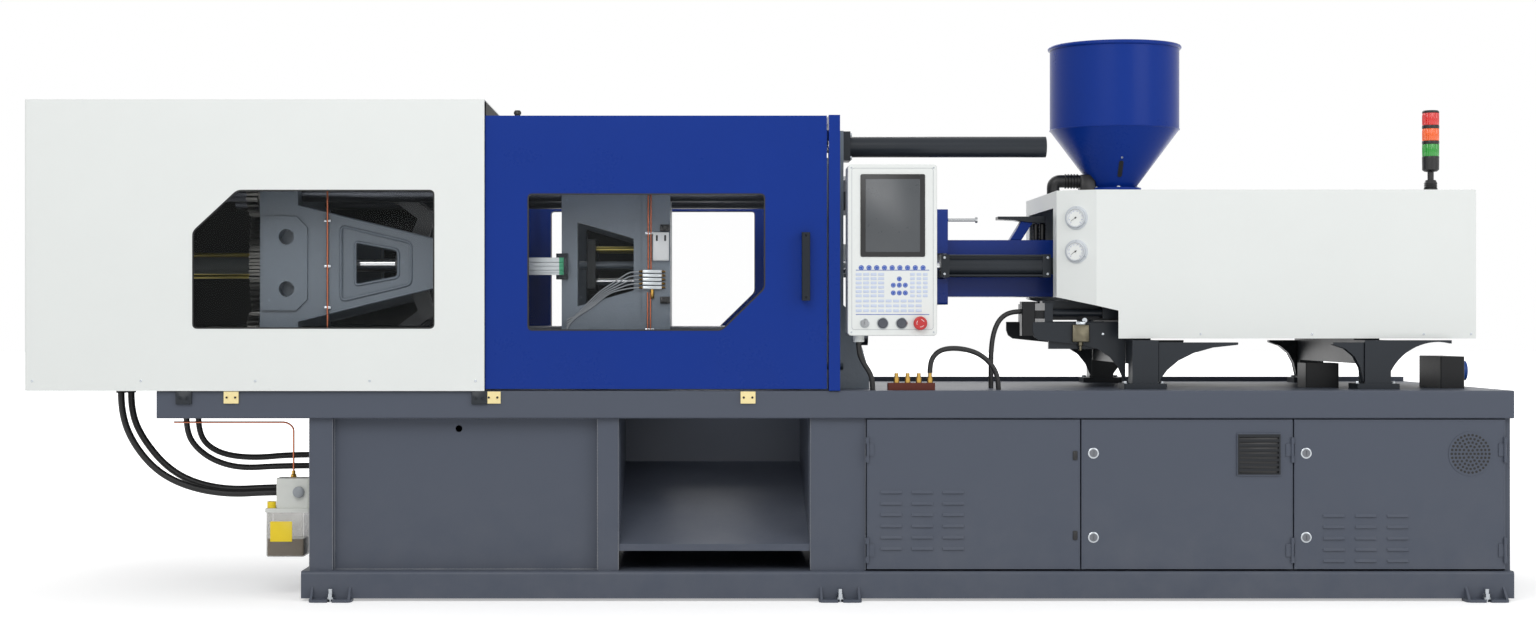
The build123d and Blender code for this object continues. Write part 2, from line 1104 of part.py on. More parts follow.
def mould_hole_cutters(face_x, inward):
    """Blind mould bolt holes, four to each spacing."""
    cutters = []
    end = face_x + inward * mould_hole_depth
    for y, z in mould_holes:
        for sy in (-1, 1):
            for sz in (-1, 1):
                cutters.append(rod_x(face_x, end, sy * y, axis_z + sz * z, mould_hole_radius))
    return cutters


def fixed_platen():
    """The fixed platen on its two feet, with rear ribs, bores and the ear of the safety bar."""
    plate = platen_blank(fixed_face_x, fixed_back)
    foot_x = fixed_face_x + foot_set_back
    foot_end = fixed_back + foot_tail
    feet = both_sides(block(foot_x, foot_end, -platen_half_width, -platen_foot_in, bed_top, platen_low))
    knee_along, knee_rise = platen_rib_knee
    outline = (
        (fixed_back - 1, platen_low),
        (fixed_back + platen_rib_foot, platen_low),
        (fixed_back + platen_rib_foot, platen_low + platen_rib_toe),
        (fixed_back + knee_along, platen_low + knee_rise),
        (fixed_back - 1, platen_low + platen_rib_top),
    )
    ribs = []
    for y in (-platen_half_width, -platen_rib_in):
        ribs += both_sides(plate_xz(outline, y, y + platen_rib_thick))
    half = safety_flange / 2
    bar_z = axis_z + safety_rise
    ear_x = fixed_back - safety_ear_thick
    ear_low = axis_z + safety_ear_low
    ear = block(ear_x, fixed_back, safety_side - half, safety_side + half, ear_low, bar_z + safety_ear_over)
    body = all_of(plate, ribs, ear)
    for y, z in tie_places():
        body -= rod_x(fixed_face_x, fixed_back, y, z, tie_radius + running_gap)
    seat = fixed_face_x + locating_depth
    body -= rod_x(fixed_face_x, seat, 0, axis_z, locating_radius)
    body -= rod_x(seat, fixed_back, 0, axis_z, nozzle_hole_radius)
    body -= rod_x(fixed_back - nozzle_recess_depth, fixed_back + 1, 0, axis_z, nozzle_recess_radius)
    body -= rod_x(fixed_face_x, fixed_back, safety_side, bar_z, safety_bar_radius + safety_bar_clear)
    for cutter in mould_hole_cutters(fixed_face_x, 1):
        body -= cutter
    return group(body, feet)


def safety_tube():
    """The black tube that covers the safety bar behind the fixed platen."""
    z = axis_z + safety_rise
    flange_right = fixed_back + safety_flange_thick
    half = safety_flange / 2
    flange = block(fixed_back, flange_right, safety_side - half, safety_side + half, z - half, z + half)
    tube = rod_x(flange_right, flange_right + safety_tube_length, safety_side, z, safety_tube_radius)
    inner = safety_tube_radius - safety_tube_wall
    end = flange_right + safety_tube_length - safety_tube_wall
    return flange + tube - rod_x(fixed_back, end, safety_side, z, inner)


# Guards, doors and their frame


def cut_corner(left, right, low, high, cut, corner):
    """A window outline with one corner cut off: corner is upper left or lower right."""
    along, up = cut
    if corner == "upper left":
        return ((left, low), (right, low), (right, high), (left + along, high), (left, high - up))
    return ((left, low), (right - along, low), (right, low + up), (right, high), (left, high))


def window_cutter(outline, y0, y1):
    """A window opening with its corners rounded."""
    hole = plate_xz(outline, y0, y1)
    return fillet(hole.edges().filter_by(Axis.Y), window_round)


def guard_window():
    """The outline of the windows in the clamp guard."""
    heights = (guard_window_low, guard_window_high)
    return cut_corner(guard_window_left, guard_window_right, *heights, guard_window_cut, "upper left")


def door_window():
    """The outline of the windows in the sliding doors."""
    heights = (door_window_low, door_window_high)
    return cut_corner(door_window_left, door_window_right, *heights, door_window_cut, "lower right")


def clamp_guard():
    """The white sheet-metal guard over the toggle: sides, end, roof, sill and hose glands."""
    y = guard_front
    t = guard_sheet
    low = bed_top - guard_lap
    outer = block(guard_left, guard_right, -y, y, low, guard_top)
    outer = fillet(outer.edges().filter_by(Axis.Z).sort_by(Axis.X)[:2], guard_corner_round)
    inner = block(guard_left + t, guard_right + 1, -y + t, y - t, low - 1, guard_top - t)
    shell = outer - inner
    shell -= window_cutter(guard_window(), -y - 1, -y + t + 1)
    shell -= window_cutter(guard_window(), y - t - 1, y + 1)
    end_y = y - guard_end_in
    roof_in = guard_top - t
    end_flange = block(guard_right - t, guard_right, -end_y, end_y, guard_top - guard_end_drop, roof_in)
    half = guard_stiffener_half
    stiffener_end = guard_right - guard_stiffener_end
    stiffener_low = guard_top - guard_stiffener_drop
    stiffener = block(guard_left + t, stiffener_end, -half, half, stiffener_low, roof_in)
    sill_top = low + sill_sheet
    sill = block(guard_left + t, bed_left, -y + t, y - t, low, sill_top)
    sill -= block(guard_left + sill_solid, bed_left, -sill_opening, sill_opening, low - 1, sill_top + 1)
    glands = [rod_z(low - gland_length, low, x, gy, gland_radius) for x, gy in clamp_hoses]
    bracket_end = bed_left + guard_bracket_length
    bracket_y = y - t - guard_bracket_thick
    bracket = block(bed_left, bracket_end, bracket_y, y - t, bed_top, bed_top + guard_bracket_tall)
    return all_of(shell, end_flange, stiffener, sill, glands, both_sides(bracket))


def clamp_panes():
    """Clear panes behind the windows of the clamp guard."""
    x0 = guard_window_left - pane_margin
    x1 = guard_window_right + pane_margin
    z0 = guard_window_low - pane_margin
    z1 = guard_window_high + pane_margin
    y = guard_front - guard_sheet
    return group(both_sides(block(x0, x1, -y, -y + pane_thick, z0, z1)))


def door_frame():
    """Blue posts beside the doors, the top rails they run on and the legs at their far ends."""
    y = guard_front - frame_post_back
    x0 = frame_post_left
    x1 = frame_post_left + frame_post_width
    post_top = door_top + frame_post_over
    post = block(x0, x1, -y, -y + frame_post_depth, bed_top, post_top)
    rail_x = guard_left + guide_rail_start
    rail_y = door_front - door_depth - guide_rail_clear
    rail_back = -rail_y + guide_rail_depth
    rail_low = guide_rail_top - guide_rail_height
    rail = block(rail_x, x1, -rail_y, rail_back, rail_low, guide_rail_top)
    leg_low = bed_top + guide_leg_lift
    leg = block(rail_x, rail_x + guide_leg, -rail_y, -rail_y + guide_leg, leg_low, rail_low)
    link = block(x0, x1, -y + frame_post_depth, rail_back, rail_low, guide_rail_top)
    side = all_of(post, rail, leg, link)
    tie_y = y - frame_post_depth
    cross = block(x0, x1, -tie_y, tie_y, door_top - frame_tie_height, post_top)
    return all_of(both_sides(side), cross)


def safety_door():
    """A sliding safety door: folded sheet with a framed window and rollers on the top rail."""
    y = door_front
    t = door_sheet
    low = bed_top + door_lift
    body = block(door_left, door_right, -y, -y + door_depth, low, door_top)
    body = fillet(body.edges().filter_by(Axis.X).sort_by(Axis.Z)[-1:], door_fold_round)
    inside = block(door_left + t, door_right - t, -y + t, -y + door_depth + 1, low + t, door_top - t)
    edge = door_window_frame
    x0 = door_window_left - edge
    x1 = door_window_right + edge
    surround = block(x0, x1, -y, -y + door_depth, door_window_low - edge, door_window_high + edge)
    body = (body - inside) + surround
    body -= window_cutter(door_window(), -y - 1, -y + door_depth + 1)
    slot = door_pane_hold + door_pane_slack
    slot_y = -y + t + door_pane_back
    body -= block(
        door_window_left - slot,
        door_window_right + slot,
        slot_y,
        slot_y + pane_thick,
        door_window_low - slot,
        door_window_high + slot,
    )
    roller_z = guide_rail_top + face_gap + door_roller_radius
    rail_y = door_front - door_depth - guide_rail_clear
    axle_end = -rail_y + guide_rail_depth - door_axle_back
    roller_y = -rail_y + door_roller_back
    for x in (door_left + door_roller_inset, door_right - door_roller_inset):
        body += rod_y(-y + t, axle_end, x, roller_z, door_axle_radius)
        body += rod_y(roller_y, roller_y + door_roller_width, x, roller_z, door_roller_radius)
    return body


def door_handle():
    """A grip bar on two short posts."""
    y = -door_front
    front = y - handle_out
    half = handle_bar / 2
    bar = block(handle_x - half, handle_x + half, front, front + handle_thick, handle_low, handle_high)
    bar = fillet(bar.edges().filter_by(Axis.Z), handle_round)
    posts = []
    for low in (handle_low, handle_high - handle_post):
        x0 = handle_x - handle_post_half
        x1 = handle_x + handle_post_half
        posts.append(block(x0, x1, front + handle_post_back, y, low, low + handle_post))
    return all_of(bar, posts)


def door_pane():
    """The clear pane held in the slot of a door's window frame."""
    y = -door_front + door_sheet + door_pane_back
    x0 = door_window_left - door_pane_hold
    x1 = door_window_right + door_pane_hold
    z0 = door_window_low - door_pane_hold
    z1 = door_window_high + door_pane_hold
    return block(x0, x1, y + door_pane_play, y + pane_thick - door_pane_play, z0, z1)


# Clamp: tail platen, toggle, crosshead and moving platen


def side_arm():
    """One triangular side arm of the tail platen, with its sunk field and its opening."""
    out = -platen_half_width
    root = tail_front - 1
    outline = (
        (root, axis_z - arm_root_half),
        (arm_tip, axis_z - arm_tip_half),
        (arm_tip, axis_z + arm_tip_half),
        (root, axis_z + arm_root_half),
    )
    arm = plate_xz(outline, out, out + arm_thick)
    field_x0 = tail_front + arm_recess_start
    field_x1 = arm_tip - arm_recess_end
    field = (
        (field_x0, axis_z - arm_recess_half),
        (field_x1, axis_z - arm_recess_tip_half),
        (field_x1, axis_z + arm_recess_tip_half),
        (field_x0, axis_z + arm_recess_half),
    )
    arm -= plate_xz(field, out - 1, out + arm_recess_depth)
    hole_x0 = tail_front + arm_hole_start
    hole_x1 = tail_front + arm_hole_end
    hole = (
        (hole_x0, axis_z - arm_hole_half),
        (hole_x1, axis_z - arm_hole_tip_half),
        (hole_x1, axis_z + arm_hole_tip_half),
        (hole_x0, axis_z + arm_hole_half),
    )
    return arm - plate_xz(hole, out - 1, 0)


def tail_platen():
    """The tail platen on its shoes, with link ears, side arms, bosses and ring rollers."""
    pieces = [platen_blank(tail_back, tail_front)]
    for sz in (-1, 1):
        z = axis_z + sz * pivot_rise
        for y0, y1 in ((front_in, front_out), (ear_in, ear_out)):
            bar = block(tail_front - 1, rear_pivot_x, y0, y1, z - ear_radius, z + ear_radius)
            pieces += both_sides(bar + rod_y(y0, y1, rear_pivot_x, z, ear_radius))
    out = -platen_half_width
    lug_in = guide_boss - guide_offset
    lug_x = arm_tip - lug_length
    lug = block(lug_x, arm_tip, out + 1, lug_in, axis_z - lug_half, axis_z + lug_half)
    low = axis_z - boss_half
    high = axis_z + boss_half
    boss = block(tail_back + boss_back, tail_front + boss_front, out - boss_out, out + 1, low, high)
    boss = chamfer(boss.edges().filter_by(Axis.Y).group_by(Axis.X)[-1], boss_chamfer)
    root = block(tail_front - 1, tail_front + boss_front, out, out + boss_root, low, high)
    for piece in (side_arm(), lug, boss, root):
        pieces += both_sides(piece)
    body = all_of(pieces)
    for y, z in tie_places():
        body -= rod_x(tail_back, tail_front, y, z, tie_radius + running_gap)
    hole_in = platen_half_width - boss_hole_depth
    hole_out = platen_half_width + boss_out + 1
    for rise in boss_hole_rises:
        for sy in (-1, 1):
            x = tail_back + boss_hole_along
            body -= rod_y(sy * hole_in, sy * hole_out, x, axis_z + rise, boss_hole_radius)
    pin_bore = pivot_pin_radius + running_gap
    for sz in (-1, 1):
        body -= rod_y(-ear_out - 1, ear_out + 1, rear_pivot_x, axis_z + sz * pivot_rise, pin_bore)
    body -= rod_x(tail_back, tail_front, 0, axis_z, piston_rod_radius + running_gap)
    for sy in (-1, 1):
        body -= rod_x(tail_front - guide_root, arm_tip, sy * guide_offset, axis_z, guide_radius)
    roller_reach = ring_bore - roller_radius - roller_play
    neck = gear_left - roller_neck
    for quarter in range(4):
        y = roller_reach * math.cos(quarter * math.pi / 2)
        z = axis_z + roller_reach * math.sin(quarter * math.pi / 2)
        body += rod_x(neck, tail_back, y, z, roller_radius)
        body += rod_x(neck - roller_collar_thick, neck, y, z, roller_radius + roller_collar)
    shoe_low = slide_top + face_gap
    shoe_end = tail_front + tail_shoe_front
    shoes = both_sides(block(tail_back, shoe_end, -shoe_out, -shoe_in, shoe_low, platen_low))
    return group(body, shoes)


def guide_rods():
    """Two bright guide rods that carry the crosshead between tail platen and arm tips."""
    left = tail_front - guide_root
    return [rod_x(left, arm_tip, sy * guide_offset, axis_z, guide_radius) for sy in (-1, 1)]


def clamp_cylinder():
    """The clamp cylinder behind the tail platen, with caps and four tie rods."""
    x1 = tail_back
    x0 = x1 - clamp_barrel_length
    barrel = rod_x(x0, x1, 0, axis_z, clamp_bore_radius + clamp_barrel_wall)
    half = clamp_cap_half
    caps = [
        block(x0 - clamp_cap, x0, -half, half, axis_z - half, axis_z + half),
        block(x1 - clamp_cap, x1, -half, half, axis_z - half, axis_z + half),
    ]
    rods = []
    reach = half - clamp_tie_rod_in
    left = x0 - clamp_cap - clamp_tie_rod_over
    for sy in (-1, 1):
        for sz in (-1, 1):
            rods.append(rod_x(left, x1, sy * reach, axis_z + sz * reach, clamp_tie_rod_radius))
    body = all_of(barrel, caps, rods)
    body -= rod_x(x0, x1 - clamp_cap, 0, axis_z, clamp_bore_radius)
    body -= rod_x(x1 - clamp_cap, x1, 0, axis_z, piston_rod_radius + running_gap)
    return body


def gear_outline(teeth, module, backlash, phase):
    """Points of a gear with straight-sided teeth, one tooth centred on the phase angle."""
    pitch_radius = teeth * module / 2
    step = 2 * math.pi / teeth
    points = []
    for n in range(teeth):
        centre = phase + n * step
        for side in (-1, 1):
            order = tooth_levels if side < 0 else tooth_levels[::-1]
            for height, share in order:
                radius = pitch_radius + height * module
                half_angle = share * step / 2 - backlash / 2 / pitch_radius
                angle = centre + side * half_angle
                points.append((radius * math.cos(angle), radius * math.sin(angle)))
    return points


def gear_solid(teeth, phase, y, z):
    """A gear between the two gear planes, centred on a point of the YZ plane."""
    outline = gear_outline(teeth, gear_module, gear_backlash, phase)
    face = make_face(Polyline(*outline, close=True))
    place = Plane(origin=(gear_left, y, z), x_dir=(0, 1, 0), z_dir=(1, 0, 0))
    return extrude(place * face, amount=gear_thick)


def ring_gear():
    """The large ring gear that turns the four mould height nuts."""
    ring = gear_solid(ring_teeth, math.pi / 4, 0, axis_z)
    return ring - rod_x(gear_left, gear_right, 0, axis_z, ring_bore)


def height_nut(sy, sz):
    """One threaded nut with gear teeth, on a tie bar behind the tail platen."""
    y = sy * tie_offset
    z = axis_z + sz * tie_offset
    toward = math.atan2(-sz, -sy)
    phase = toward + math.pi / nut_teeth
    body = gear_solid(nut_teeth, phase, y, z)
    body += rod_x(gear_right, tail_back - face_gap, y, z, nut_hub_radius)
    return body - rod_x(gear_left, tail_back, y, z, tie_radius + running_gap)


def rear_link_node(sz):
    """The rear toggle links of one side with their pivot pin and knee pin."""
    za = axis_z + sz * pivot_rise
    zd = za - sz * drive_pin_drop
    web_z = zd - sz * web_drop
    web_feet = ((drive_x + web_half, web_z), (drive_x - web_half, web_z))
    web_outline = ((rear_pivot_x, za), (knee_x, za), *web_feet)
    plates = []
    for sy in (-1, 1):
        y0, y1 = sorted((sy * rear_in, sy * rear_out))
        arm = link_bar(((rear_pivot_x, za), (knee_x, za)), link_half, y0, y1)
        eyes = [rod_y(y0, y1, x, za, link_eye) for x in (rear_pivot_x, knee_x)]
        web = plate_xz(web_outline, y0, y1)
        horn = rod_y(y0, y1, drive_x, zd, cross_eye + horn_extra)
        plate = all_of(arm, eyes, web, horn)
        plate -= rod_y(y0, y1, drive_x, zd, cross_pin_radius + running_gap)
        plates.append(plate)
    pivot_half = ear_out + pivot_pin_over
    knee_half = rear_out + knee_pin_over
    pins = [
        rod_y(-pivot_half, pivot_half, rear_pivot_x, za, pivot_pin_radius),
        rod_y(-knee_half, knee_half, knee_x, za, pivot_pin_radius),
    ]
    return all_of(plates, pins)


def front_link_node(sz):
    """The front toggle links of one side, from the knee to the moving platen."""
    z = axis_z + sz * pivot_rise
    bars = []
    for sy in (-1, 1):
        y0, y1 = sorted((sy * front_in, sy * front_out))
        bar = link_bar(((knee_x, z), (front_pivot_x, z)), link_half, y0, y1)
        eyes = [rod_y(y0, y1, x, z, link_eye) for x in (knee_x, front_pivot_x)]
        body = all_of(bar, eyes)
        body += rod_y(y0 - front_pin_over, y1 + front_pin_over, front_pivot_x, z, pivot_pin_radius)
        body -= rod_y(y0, y1, knee_x, z, pivot_pin_radius + running_gap)
        bars.append(body)
    return group(bars)


def cross_link_node(sz):
    """The short links between the crosshead and the rear links of one side."""
    zd = axis_z + sz * (pivot_rise - drive_pin_drop)
    ze = axis_z + sz * cross_pin_rise
    bars = []
    for sy in (-1, 1):
        y0, y1 = sorted((sy * cross_in, sy * cross_out))
        bar = link_bar(((drive_x, zd), (cross_x, ze)), cross_eye - cross_link_waist, y0, y1)
        eyes = [rod_y(y0, y1, drive_x, zd, cross_eye), rod_y(y0, y1, cross_x, ze, cross_eye)]
        pin_in, pin_out = sorted((sy * (rear_in + 2), sy * (cross_in + 1)))
        pin = rod_y(pin_in, pin_out, drive_x, zd, cross_pin_radius)
        cap_in, cap_out = sorted((sy * (cross_out - 1), sy * (cross_out + cross_pin_cap)))
        cap = rod_y(cap_in, cap_out, cross_x, ze, cross_pin_radius)
        bars.append(all_of(bar, eyes, pin, cap))
    return group(bars)


def crosshead():
    """The crosshead beam with guide bosses, link ears and the piston rod."""
    x0 = crosshead_x - crosshead_half
    x1 = crosshead_x + crosshead_half
    low = axis_z - crosshead_half_height
    high = axis_z + crosshead_half_height
    pieces = [block(x0, x1, -guide_offset, guide_offset, low, high)]
    for sy in (-1, 1):
        pieces.append(rod_x(x0, x1, sy * guide_offset, axis_z, guide_boss))
        y0, y1 = sorted((sy * ear_in, sy * ear_out))
        for sz in (-1, 1):
            z_pin = axis_z + sz * cross_pin_rise
            outline = (
                (x0, axis_z),
                (x1, axis_z),
                (cross_x + cross_eye, z_pin),
                (cross_x - cross_eye, z_pin),
            )
            pieces.append(plate_xz(outline, y0, y1))
            pieces.append(rod_y(y0, y1, cross_x, z_pin, cross_eye))
    rod_end = tail_back - clamp_cap - piston_clear
    piston_x = rod_end - piston_length
    pieces.append(rod_x(piston_x, crosshead_x, 0, axis_z, piston_rod_radius))
    pieces.append(rod_x(piston_x, rod_end, 0, axis_z, clamp_bore_radius - running_gap))
    body = all_of(pieces)
    for sy in (-1, 1):
        body -= rod_x(x0, x1, sy * guide_offset, axis_z, guide_radius + running_gap)
    return body


def rear_side_frame():
    """One side frame behind the moving platen, with its large opening."""
    root = moving_back + 1
    outline = (
        (root, axis_z - frame_root_half),
        (root, axis_z + frame_root_half),
        (frame_left, axis_z + frame_tip_half),
        (frame_left, axis_z - frame_tip_half),
    )
    out = frame_inset - platen_half_width
    front_low, front_high = frame_hole_front_heights
    back_low, back_high = frame_hole_back_heights
    front_x = moving_back - frame_hole_front
    back_x = frame_left + frame_hole_back
    hole = (
        (front_x, axis_z + front_low),
        (front_x, axis_z + front_high),
        (back_x, axis_z + back_high),
        (back_x, axis_z + back_low),
    )
    return plate_xz(outline, out, out + frame_thick) - plate_xz(hole, out - 1, out + frame_thick + 1)


def pivot_ribs(sz):
    """The ribs that carry the front pivots of one side, with a thrust button at each ear."""
    z = axis_z + sz * pivot_rise
    rib = (
        (moving_back + 1, z - sz * pivot_rib_low),
        (moving_back + 1, z + sz * pivot_rib_high),
        (front_pivot_x, z + sz * ear_radius),
        (front_pivot_x, z - sz * ear_radius),
    )
    inner = (front_in - layer_gap - inner_ear_width, front_in - layer_gap)
    ribs = []
    for y0, y1 in (inner, (rear_in, rear_out)):
        ear = plate_xz(rib, y0, y1) + rod_y(y0, y1, front_pivot_x, z, ear_radius)
        ear += rod_y(y0 - ear_button, y0, front_pivot_x, z, pivot_pin_radius)
        ribs += both_sides(ear)
    side = platen_half_width - bridge_inset
    bridge_x = moving_back - bridge_length
    ribs.append(block(bridge_x, moving_back + 1, -side, side, z - bridge_half, z + bridge_half))
    return ribs


def ejector_holes():
    """Y and Z of the outer ejector rods."""
    for sy in (-1, 1):
        for sz in (-1, 1):
            yield sy * ejector_rod_side, axis_z + sz * ejector_rod_rise


def moving_platen():
    """The moving platen on its shoes: plate, side frames, pivot ribs, bosses and the bar ear."""
    pieces = [platen_blank(moving_back, moving_face)]
    pieces += both_sides(rear_side_frame())
    pieces += pivot_ribs(1) + pivot_ribs(-1)
    boss_x = moving_back - tie_boss_length
    for y, z in tie_places():
        pieces.append(rod_x(boss_x, moving_back + 1, y, z, tie_boss_radius))
    z_bar = axis_z + safety_rise
    ear_y = (safety_side - bar_ear_half, safety_side + bar_ear_half)
    ear_z = (axis_z + bar_ear_low, z_bar + bar_ear_over)
    ear_right = moving_back + bar_ear_thick
    pieces.append(block(moving_back, ear_right, *ear_y, *ear_z))
    body = all_of(pieces)
    for y, z in tie_places():
        body -= rod_x(boss_x, moving_face, y, z, tie_radius + running_gap)
    body -= rod_x(moving_back, moving_face, 0, axis_z, ejector_rod_radius + ejector_centre_play)
    for y, z in ejector_holes():
        body -= rod_x(moving_back, moving_face, y, z, ejector_rod_radius + running_gap)
    for cutter in mould_hole_cutters(moving_face, -1):
        body -= cutter
    body -= rod_x(moving_back, ear_right, safety_side, z_bar, safety_bar_radius)
    guide_x = moving_back - ejector_stand_off - ejector_guide_over
    for sy in (-1, 1):
        y = sy * ejector_guide_offset
        body += rod_x(guide_x, moving_back + 1, y, axis_z, ejector_guide_radius)
    shoe_low = slide_top + face_gap
    shoe_x = moving_back - shoe_back
    shoes = both_sides(block(shoe_x, moving_face, -shoe_out, -shoe_in, shoe_low, platen_low))
    return group(body, shoes)


def ejector():
    """The ejector plate with its rods, sliding on two guides behind the moving platen."""
    x1 = moving_back - ejector_stand_off
    x0 = x1 - ejector_plate
    side = ejector_half_width
    plate = block(x0, x1, -side, side, axis_z - ejector_half_height, axis_z + ejector_half_height)
    plate = fillet(plate.edges().filter_by(Axis.X), ejector_round)
    for sy in (-1, 1):
        y = sy * ejector_guide_offset
        plate -= rod_x(x0, x1, y, axis_z, ejector_guide_radius + running_gap)
    end = moving_face - ejector_rod_back
    rods = [rod_x(x1 - 1, end, y, z, ejector_rod_radius) for y, z in ejector_holes()]
    rods.append(rod_x(x1 - 1, end, 0, axis_z, ejector_rod_radius))
    return all_of(plate, rods)


def safety_bar():
    """The notched safety bar, fixed in the moving platen and free in the fixed one."""
    z = axis_z + safety_rise
    right = fixed_back + safety_bar_over
    left = moving_back - safety_head_length
    bar = rod_x(left, right, safety_side, z, safety_bar_radius)
    bar += rod_x(left, moving_back, safety_side, z, safety_bar_radius + safety_head_extra)
    low = z + safety_bar_radius - safety_notch_depth
    reach = safety_bar_radius + 1
    for n in range(safety_notches):
        x = moving_face + safety_notch_start + n * safety_notch_pitch
        notch_y = (safety_side - reach, safety_side + reach)
        bar -= block(x, x + safety_notch_width, *notch_y, low, z + reach)
    return bar


# Control panel


def control_holes():
    """X and bore radius of the key switch, the two buttons and the stop."""
    return (
        (panel_left + key_at, key_radius + running_gap),
        (panel_left + button_one_at, button_radius + running_gap),
        (panel_left + button_two_at, button_radius + running_gap),
        (panel_left + stop_at, stop_stem + running_gap),
    )


def control_row():
    """The height of the row of controls."""
    return panel_low + panel_tall - controls_drop


def control_panel():
    """The white panel housing with rounded corners, its arm to the fixed platen and a gland."""
    x1 = panel_left + panel_width
    y_front = -panel_face
    y_back = y_front + panel_depth
    z1 = panel_low + panel_tall
    body = block(panel_left, x1, y_front, y_back, panel_low, z1)
    body = fillet(body.edges().filter_by(Axis.Y), panel_round)
    body = fillet(body.edges().group_by(Axis.Y)[0], panel_edge_round)
    t = panel_wall
    body -= block(panel_left + t, x1 - t, y_front + panel_face_thick, y_back - t, panel_low + t, z1 - t)
    arm_z = (panel_low + panel_tall / 2 - panel_arm_half, panel_low + panel_tall / 2 + panel_arm_half)
    mid_x = panel_left + panel_width / 2
    arm = block(mid_x - panel_arm_half, mid_x + panel_arm_half, y_back, -panel_arm_end, *arm_z)
    foot_y = -panel_arm_end - panel_arm_width
    foot = block(fixed_back, mid_x + panel_arm_half, foot_y, -panel_arm_end, *arm_z)
    gland_x = panel_left + panel_gland_in
    gland_y = y_front + panel_gland_back
    gland = rod_z(panel_low - panel_gland_length, panel_low, gland_x, gland_y, panel_gland_radius)
    body = all_of(body, arm, foot, gland)
    for x, radius in control_holes():
        body -= rod_y(y_front, y_front + panel_face_thick, x, control_row(), radius)
    return body


def panel_face_node():
    """The dark screen bezel and the small round membrane keys."""
    y = -panel_face
    z1 = panel_low + panel_tall
    x0 = panel_left + bezel_left
    top = z1 - bezel_drop
    bezel = block(x0, x0 + bezel_width, y - bezel_thick, y, top - bezel_tall, top)
    bezel = fillet(bezel.edges().filter_by(Axis.Y), bezel_round)
    spots = [(menu_key_start + n * menu_key_pitch, menu_key_drop) for n in range(menu_keys)]
    spots += arrow_keys
    keys = []
    for along, drop in spots:
        keys.append(rod_y(y - key_pad_thick, y, panel_left + along, z1 - drop, key_pad_radius))
    return group(bezel, keys)


def push_button(n):
    """A round push button in the panel's lower row."""
    x = control_holes()[1 + n][0]
    return rod_y(-panel_face - button_out, -panel_face + control_depth, x, control_row(), button_radius)


def e_stop():
    """The red mushroom stop with its stem."""
    x = control_holes()[3][0]
    z = control_row()
    front = -panel_face - stop_out
    back = front + stop_head
    head = rod_y(front, back, x, z, stop_radius)
    head = fillet(head.edges().group_by(Axis.Y)[0], stop_round)
    return head + rod_y(back - 1, -panel_face + control_depth, x, z, stop_stem)


def key_switch():
    """The key switch with its key."""
    x = control_holes()[0][0]
    z = control_row()
    y = -panel_face
    barrel = rod_y(y - key_out, y + control_depth, x, z, key_radius)
    half = key_blade_thick / 2
    front = y - key_blade_out
    blade = block(x - half, x + half, front, y - key_out + 1, z - key_blade_low, z + key_blade_high)
    return barrel + blade


# Services on the bed


def water_manifold():
    """The painted water manifold with its brass nipples."""
    right = manifold_left + manifold_width
    back = manifold_depth - manifold_front
    top = bed_top + manifold_tall
    body = block(manifold_left, right, -manifold_front, back, bed_top, top)
    body = fillet(body.edges().filter_by(Axis.Z), manifold_round)
    y = back - manifold_depth / 2
    collar_top = top + nipple_base_tall
    nipples = []
    for n in range(nipple_count):
        x = manifold_left + nipple_start + n * nipple_pitch
        nipple = rod_z(top, collar_top, x, y, nipple_base_radius)
        nipple += rod_z(collar_top, collar_top + nipple_tall, x, y, nipple_radius)
        nipples.append(nipple)
    return group(body, nipples)


def electric_box(left, width, front, depth, low, tall):
    """A dark electric box with rounded upright corners."""
    body = block(left, left + width, front, front + depth, low, low + tall)
    return fillet(body.edges().filter_by(Axis.Z), box_round)


def junction_boxes():
    """Two boxes on the bed, the limit switch box on its arm, and the blue plug socket."""
    power = electric_box(
        power_box_left, power_box_width, power_box_front, power_box_depth, bed_top, power_box_tall
    )
    valve = electric_box(
        valve_box_left, valve_box_width, valve_box_front, valve_box_depth, bed_top, valve_box_tall
    )
    arm_x = base_left - limit_arm_reach
    low = base_beam_low - limit_box_down
    limit = electric_box(
        arm_x - limit_box_width, limit_box_width, limit_box_front, limit_box_depth, low, limit_box_tall
    )
    arm_low = base_beam_low + limit_arm_low
    arm_back = limit_arm_front + limit_arm_depth
    limit += block(arm_x, base_left, limit_arm_front, arm_back, arm_low, arm_low + limit_arm_tall)
    return group(power, valve, limit, socket())


def socket():
    """The blue plug socket on the side of the power box."""
    x = power_box_left + power_box_width
    z = bed_top + socket_rise
    collar = x + socket_neck
    end = collar + socket_length
    body = rod_x(x, collar, socket_side, z, socket_neck_radius)
    body += rod_x(collar, end, socket_side, z, socket_radius)
    return body - rod_x(end - socket_bore_depth, end, socket_side, z, socket_bore)


def lube_pump():
    """The lubrication pump on the bed's left end: back plate, lid, cap and pump head."""
    x = cabin_left
    y = pump_side
    low = pump_low
    plate_x = x - pump_plate_thick
    plate = block(plate_x, x, y - pump_plate_front, y + pump_plate_back, low, low + pump_plate_tall)
    lid_top = low + pump_lid_thick
    head_low = lid_top - pump_head_sink
    head_y = (y - pump_head_front, y + pump_head_back)
    head = block(x - pump_head_reach, plate_x, *head_y, head_low, head_low + pump_head_tall)
    head = fillet(head.edges().filter_by(Axis.Z), pump_head_round)
    lid_y = (y - pump_lid_front, y + pump_lid_back)
    lid = block(x - pump_lid_reach, plate_x - pump_lid_set_off, *lid_y, low, lid_top)
    cap_x = x - pump_lid_reach + pump_cap_in
    cap = rod_z(lid_top, lid_top + pump_cap_tall, cap_x, y + pump_cap_side, pump_cap_radius)
    return all_of(plate, head, lid, cap)


